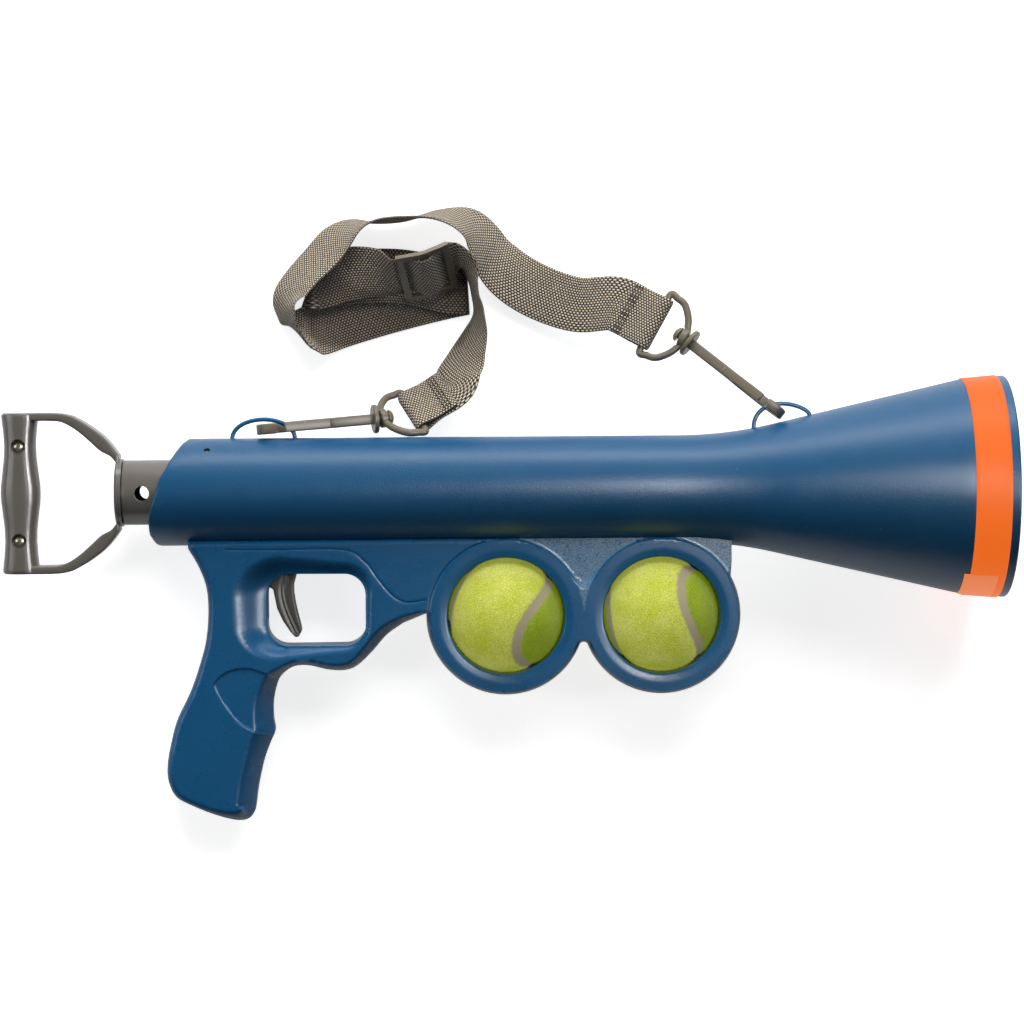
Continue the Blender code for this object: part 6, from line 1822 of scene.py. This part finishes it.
@dataclass
class Strap:
    """The webbing from ring to ring with its sewn ends, threaded through its slider."""

    rear: SnapHook
    front: SnapHook
    width: float = 32 * MM
    thickness: float = 1.6 * MM
    edge_share: float = 0.35
    fold: float = 24 * MM
    flap_seam: float = 0.16
    stitch: Triple = (2.2 * MM, 2 * MM, 0.4 * MM)
    turn_steps: int = 6
    step: float = 2 * MM
    columns: int = 16
    long_route: tuple = (
        (238, 109, 15, -0.1, -0.99, 0), (217.7, 116.2, 9, -0.2, -0.98, 0), (201.8, 125.5, 7.5, -0.28, -0.95, 0.14),
        (191.2, 135.7, 8.5, -0.38, -0.87, 0.31), (184.7, 146, 11.5, -0.45, -0.69, 0.57),
        (177.6, 154.3, 14, -0.44, -0.52, 0.73), (169, 158.6, 16, -0.32, -0.44, 0.84),
        (156, 160.6, 17, -0.2, -0.28, 0.94), (137, 158.5, 17.3, -0.05, -0.05, 1), (120, 157, 17.2, 0.1, -0.06, 0.99),
        (109, 154.6, 16.6, 0.3, -0.24, 0.92), (99, 148, 15.5, 0.52, -0.3, 0.8), (89, 137, 14.8, 0.6, -0.25, 0.76),
        (78, 125.4, 14.8, 0.61, -0.16, 0.78), (70.6, 115, 15.2, 0.55, -0.13, 0.82),
        (68.6, 106.5, 16.6, 0.31, -0.1, 0.95), (69.6, 100.5, 17.2, 0.25, 0.05, 0.97),
        (72.6, 95.6, 16.4, 0.1, -0.1, 0.99), (77, 92.8, 13.4, 0.05, -0.5, 0.86), (82.5, 93.6, 8.5, 0.08, -0.86, 0.5),
        (90, 96.8, 3.9, 0.14, -0.97, 0.17), (98, 100.2, 1.6, 0.17, -0.98, 0.02), (123.8, 108.2, 1.2, 0.2, -0.98, 0),
        (147.8, 114.6, 1.2, 0.24, -0.97, 0), (163, 118.2, 1.2, 0.18, -0.98, 0), (172, 120, 1.2, 0.08, -1, 0),
        (173.6, 120.3, 1.75, 0.06, -1, 0), (174.2, 120.4, 3.2, 0.05, -1, 0), (173.6, 120.4, 4.65, 0.05, -1, 0),
        (172, 120.3, 5.2, 0.05, -1, 0), (163, 120.6, 5.2, 0.05, -1, 0), (150, 123.8, 4.9, 0.02, -1, 0),
        (134, 126.5, 4.7, -0.02, -1, 0), (108, 126, 4.6, 0, -1, 0), (89, 123, 4.8, -0.22, -0.97, 0),
        (84, 121.8, 5.5, -0.31, -0.95, 0), (83, 121.5, 7, -0.33, -0.94, 0), (84, 121.8, 8.7, -0.31, -0.95, 0),
        (89, 123, 9.4, -0.22, -0.97, -0.08), (99, 126, 11.2, -0.1, -0.96, -0.25),
        (111, 127.5, 14.6, -0.04, -0.89, -0.44), (122, 127, 18, 0.02, -0.79, -0.6))
    tail_route: tuple = (
        (172.2, 130.5, 24.5, 0.08, -0.42, -0.9), (175.2, 124.5, 22, 0.04, -0.25, -0.97),
        (178, 114.5, 18.8, 0, -0.05, -1), (180, 104.5, 17.5, -0.1, -0.05, -0.99),
        (177.5, 92, 17.2, -0.38, 0.1, -0.92), (172, 78, 18.6, -0.5, 0.34, -0.8), (167.5, 68, 22.5, -0.46, 0.5, -0.74))
    # The box round the folded bunch, whose webbing gets painted shade.
    bunch: tuple = ((80, 84, -9), (178, 150, 13.5))
    left_turn: tuple = (77, 92.8, 13.4)
    slider_middle: tuple = (149.5, 127, 25)
    slider_flow: tuple = (0.93, 0.27, 0.06)
    slider_bars: tuple = (0.1, -0.55, -0.83)
    slider_length: float = 31 * MM
    slider_bar: float = 3.8 * MM
    slider_thickness: float = 2.6 * MM
    slider_rise: float = 2 * MM
    slider_clearance: float = 0.6 * MM

    def sewn_end(self, ring: SnapHook, towards: Place) -> list[Place]:
        """The fold round a ring's bar, from the sewn tip to the stretch that leaves it."""
        placing, reach = ring.ring_frame(), ring.ring_reach
        middle = placing @ Vector((-reach, 0, 0))
        across = (placing @ Vector((-reach, 1, 0)) - middle).normalized()
        if across.dot(towards[1]) < 0:
            across = -across
        way = towards[0] - middle
        way = (way - across * way.dot(across)).normalized()
        normal = across.cross(way)
        radius = (ring.ring_bar + GAP + self.thickness / 2) / cos(pi / 2 / self.turn_steps)
        apart = self.thickness / 2 + GAP
        fold = [middle + way * self.fold * share - normal * (apart + GAP) for share in (1, 0.45)]
        for i in range(self.turn_steps + 1):
            angle = -pi / 2 - pi * i / self.turn_steps
            fold.append(middle + (way * cos(angle) + normal * sin(angle)) * radius)
        fold.append(middle + way * self.fold * 0.45 + normal * (apart + GAP))
        fold.append(middle + way * (self.fold + 2 * self.thickness) + normal * apart)
        return [(place, across) for place in fold]

    def places(self) -> list[Place]:
        """The whole route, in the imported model's frame."""
        shift = GROUND.translation
        route, tail = (
            [(Vector(row[:3]) * MM + shift, Vector(row[3:]).normalized()) for row in rows]
            for rows in (self.long_route, self.tail_route))
        flow = Vector(self.slider_flow).normalized()
        upward = -Vector(self.slider_bars)
        upward = (upward - flow * upward.dot(flow)).normalized()
        facing = flow.cross(upward)
        middle = Vector(self.slider_middle) * MM + shift
        outer = (self.slider_length - self.slider_bar) / 2
        lift = self.slider_thickness / 2 + self.thickness / 2 + self.slider_clearance
        over = self.slider_rise + lift
        half = [
            (0, over), (outer * 0.22, over - GAP), (outer * 0.5, (over - lift) / 2),
            (outer - self.slider_bar / 2, -lift), (outer + self.slider_bar, -lift)]
        thread = [(-x, z) for x, z in half[:0:-1]] + half
        threaded = [(middle + flow * x + facing * z, -upward) for x, z in thread]
        last = self.sewn_end(self.rear, tail[-1])
        return [*self.sewn_end(self.front, route[0]), *route, *threaded, *tail, *last[::-1]]

    def smooth(self, places: list[Place]) -> list[Place]:
        """Close places on a curve through the given ones, even where they lie close together."""
        points = [Vector((*middle, *across)) for middle, across in places]
        points = [2 * points[0] - points[1], *points, 2 * points[-1] - points[-2]]

        def between(first: Vector, second: Vector, low: float, high: float, at: float) -> Vector:
            """The place at a value that runs from low at the first to high at the second."""
            return first + (second - first) * ((at - low) / (high - low))

        result = []
        for i in range(1, len(points) - 2):
            p = points[i - 1:i + 3]
            t = [0.0, *accumulate(sqrt((second - first).xyz.length) for first, second in zip(p, p[1:]))]
            steps = max(1, round((p[2] - p[1]).xyz.length / self.step))
            for number in range(steps):
                u = t[1] + (t[2] - t[1]) * number / steps
                a, b, c = (between(p[k], p[k + 1], t[k], t[k + 1], u) for k in range(3))
                result.append(between(between(a, b, t[0], t[2], u), between(b, c, t[1], t[3], u), t[1], t[2], u))
        return [(Vector(place[:3]), Vector(place[3:])) for place in [*result, points[-2]]]

    def band(self) -> tuple[Mesh, float, list[Station]]:
        """The webbing.

        Returns:
            Its mesh, its length, and for each station its middle, way across and face.
        """
        places = self.smooth(self.places())
        middles = [place[0] for place in places]
        along_m = [0.0, *accumulate((b - a).length for a, b in zip(middles, middles[1:]))]
        stations, points = [], []
        for i, (middle, across) in enumerate(places):
            along = (middles[min(i + 1, len(middles) - 1)] - middles[max(i - 1, 0)]).normalized()
            across = (across - along * across.dot(along)).normalized()
            normal = along.cross(across)
            stations.append((middle, across, normal))
            for face in (1, -1):
                for k in range(self.columns + 1)[::face]:
                    share = k / self.columns - 0.5
                    half = self.thickness / 2 * (self.edge_share if k in (0, self.columns) else 1.0)
                    points.append(middle + across * self.width * share + normal * half * face)
        count, ring = len(places), 2 * (self.columns + 1)
        mesh = bpy.data.meshes.new("webbing")
        mesh.from_pydata(
            [tuple(p) for p in points], [], quads(count, ring, around=False) + caps(len(points), ring))
        # Painted shade darkens the folds. The outer loop, up to the left turn, stays as pale as the rest.
        ground = np.array([tuple(p - GROUND.translation) for p in points]) / MM
        low, high = np.array(self.bunch)
        shade = smoothstep(np.minimum(ground - low, high - ground).min(1) / 3)
        turn = np.linalg.norm(ground - np.array(self.left_turn), axis=1).argmin() // ring
        shade[:turn * ring] = 0
        set_value(mesh, "shade", shade)
        u = [self.across_of(number) for number in range(ring + 1)]
        weave = [
            (u[k + a], along_m[i + b]) for i in range(count - 1) for k in range(ring)
            for a, b in ((0, 0), (1, 0), (1, 1), (0, 1))]
        weave += [(u[k], along_m[0]) for k in range(ring)] + [(u[k], along_m[-1]) for k in reversed(range(ring))]
        mesh.uv_layers.new(name="weave").data.foreach_set("uv", [c for corner in weave for c in corner])
        shape = read(mesh)
        bmesh.ops.recalc_face_normals(shape, faces=shape.faces)
        return written(shape, mesh), along_m[-1], stations

    def across_of(self, number: int) -> float:
        """The weave's coordinate across the webbing at a corner of its section."""
        if number <= self.columns:
            return self.width * number / self.columns
        return self.width * (2 * self.columns + 1 - number) / self.columns + self.width

    def on_face(self, station: Station, share: float, side: int) -> Vector:
        """A place on the webbing's face at a station, at a share of its width from the middle."""
        middle, across, normal = station
        return middle + across * self.width * share + normal * side * (self.thickness / 2 + 0.1 * MM)

    def flap_station(self, stations: list[Station], start: int, way: int) -> int:
        """The station of a sewn flap's seam, counted from an end of the webbing."""
        at, length = start, 0.0
        while length < self.fold * self.flap_seam:
            length += (stations[at + way][0] - stations[at][0]).length
            at += way
        return at

    def build(self) -> None:
        """Build and dress the strap."""
        mesh, length, stations = self.band()
        piece = finish_piece(mesh, "shoulder_webbing", WEBBING, BODY, ("strap",), HERE, 60)
        LOG.info("webbing is %.3f m long", length)
        rows = []
        for start, way in ((0, 1), (len(stations) - 1, -1)):
            at = self.flap_station(stations, start, way)
            rows += [
                [self.on_face(stations[at + k], share / 20, side) for share in range(-9, 10, 2)]
                for side in (1, -1) for k in (-1, 0, 1)]
        finish_piece(stitches(rows, *self.stitch), "webbing_stitches", THREAD, BODY, (), HERE, 180)
        dress_node("strap_slider", "slider_frame", TAUPE, BODY)


# ---- Studio ----


@dataclass
class Studio:
    """Pale floor, soft lamps and the camera straight over the object, as in the photograph."""

    camera_place: Triple = (-157.2 * MM, -71.2 * MM, 1.889)
    camera_turn: Triple = (radians(2.147), radians(-4.943), radians(-0.464))
    view_angle: float = radians(17.93)
    sensor: float = 36.0
    surround: float = 0.04
    floor_glow: float = 0.8
    mirrored: float = 0.45
    # Name, place, width, height, power, and the rays that don't see it. A low soft key from the strap's side makes
    # the long highlight and a higher fill behind it shades the barrel from top to bottom. Strips that only show as
    # reflections draw the pale lines along the barrel and its flare, and light the edges of grip and handle.
    lamps: tuple = (
        ("key_softbox", (0.1, 1.8, 0.55), 2.0, 0.7, 24), ("fill_softbox", (0.1, 1.35, 1.35), 1.6, 1.2, 28, "glossy"),
        ("overhead_strip", (0.38, 0.12, 2.1), 0.35, 0.08, 6, "diffuse"),
        ("barrel_strip", (0.15, 0.05, 0.55), 0.15, 0.03, 1.3, "diffuse", "camera"),
        ("left_strip", (-1.5, 0.0, 1.0), 0.3, 1.2, 5), ("right_strip", (1.2, -0.1, 1.5), 0.3, 0.8, 22, "diffuse"))

    def build(self) -> None:
        """Set up camera, lamps, world and floor."""
        scene = bpy.context.scene
        scene.view_settings.view_transform = "Standard"
        data = bpy.data.cameras.new("camera")
        data.sensor_width = self.sensor
        data.lens = self.sensor / 2 / tan(self.view_angle / 2)
        data.clip_start, data.clip_end = 0.05, 20
        camera = new_object("camera", data)
        camera.location = self.camera_place
        camera.rotation_euler = self.camera_turn
        scene.camera = camera
        for row in self.lamps:
            self.lamp(*row)
        self.world()
        self.floor()

    @staticmethod
    def lamp(name: str, place: Sequence[float], width: float, height: float, power: float, *unseen: str) -> None:
        """Add a soft rectangular lamp that faces the object, unseen by some kinds of ray."""
        data = bpy.data.lights.new(name, "AREA")
        data.shape = "RECTANGLE"
        data.size, data.size_y = width, height
        data.energy = power
        lamp = new_object(name, data)
        lamp.location = place
        lamp.rotation_euler = (-Vector(place)).to_track_quat("-Z", "Y").to_euler()
        for ray in unseen:
            setattr(lamp, f"visible_{ray}", False)

    def world(self) -> None:
        """A dim even surround, white where the camera looks past the floor."""
        world = bpy.data.worlds.new("surround")
        bpy.context.scene.world = world
        world.use_nodes = True
        tree = world.node_tree
        tree.nodes.clear()
        dim, white = (
            add_node(tree, "ShaderNodeBackground", {"Color": WHITE_LIGHT, "Strength": power})
            for power in (self.surround, 1))
        seen = add_node(tree, "ShaderNodeLightPath").outputs["Is Camera Ray"]
        mix = add_node(tree, "ShaderNodeMixShader", {0: seen, 1: dim, 2: white})
        add_node(tree, "ShaderNodeOutputWorld", {"Surface": mix})

    def floor(self) -> None:
        """A plain pale floor that keeps the object's soft shadow, and shows weakly in its reflections."""
        corners = ((-4, -4), (4, -4), (4, 4), (-4, 4))
        mesh = mesh_of([(x, y, -0.4 * MM) for x, y in corners], [(0, 1, 2, 3)])
        floor = new_object("floor", mesh)
        made = Surface("pale_floor")
        tree, shader = made.tree, made.shader
        path = add_node(tree, "ShaderNodeLightPath").outputs
        glow = add_node(tree, "ShaderNodeEmission", {"Color": WHITE_LIGHT, "Strength": self.floor_glow})
        both = add_node(tree, "ShaderNodeAddShader", {0: shader, 1: glow})
        seen = maths(tree, "MULTIPLY_ADD", path["Is Glossy Ray"], self.mirrored, path["Is Camera Ray"])
        mix = add_node(tree, "ShaderNodeMixShader", {0: seen, 1: shader, 2: both})
        # It throws only a little light up at the object's underside.
        dim = add_node(tree, "ShaderNodeBsdfDiffuse", {"Color": linear("#6E6E6E")})
        bounced = add_node(tree, "ShaderNodeMixShader", {0: path["Is Diffuse Ray"], 1: mix, 2: dim})
        feed(tree, tree.nodes["Material Output"], {"Surface": bounced})
        mesh.materials.append(made.done({
            "Base Color": linear("#F2F2F2"), "Roughness": 0.9, "Specular IOR Level": 0.1}))


def main() -> None:
    """Build every sub-assembly in order."""
    logging.basicConfig(level=logging.INFO, format="%(message)s")
    Studio().build()
    rear, front = SnapHook("hook_rear", radians(53)), SnapHook("hook_front", 0)
    barrel = Barrel()
    body = LowerBody(barrel)
    for group in (
            Strap(rear, front), barrel, body, TennisBalls(body), Plunger(), TriggerGroup(), rear, front):
        group.build()


if __name__ == "__main__":
    main()
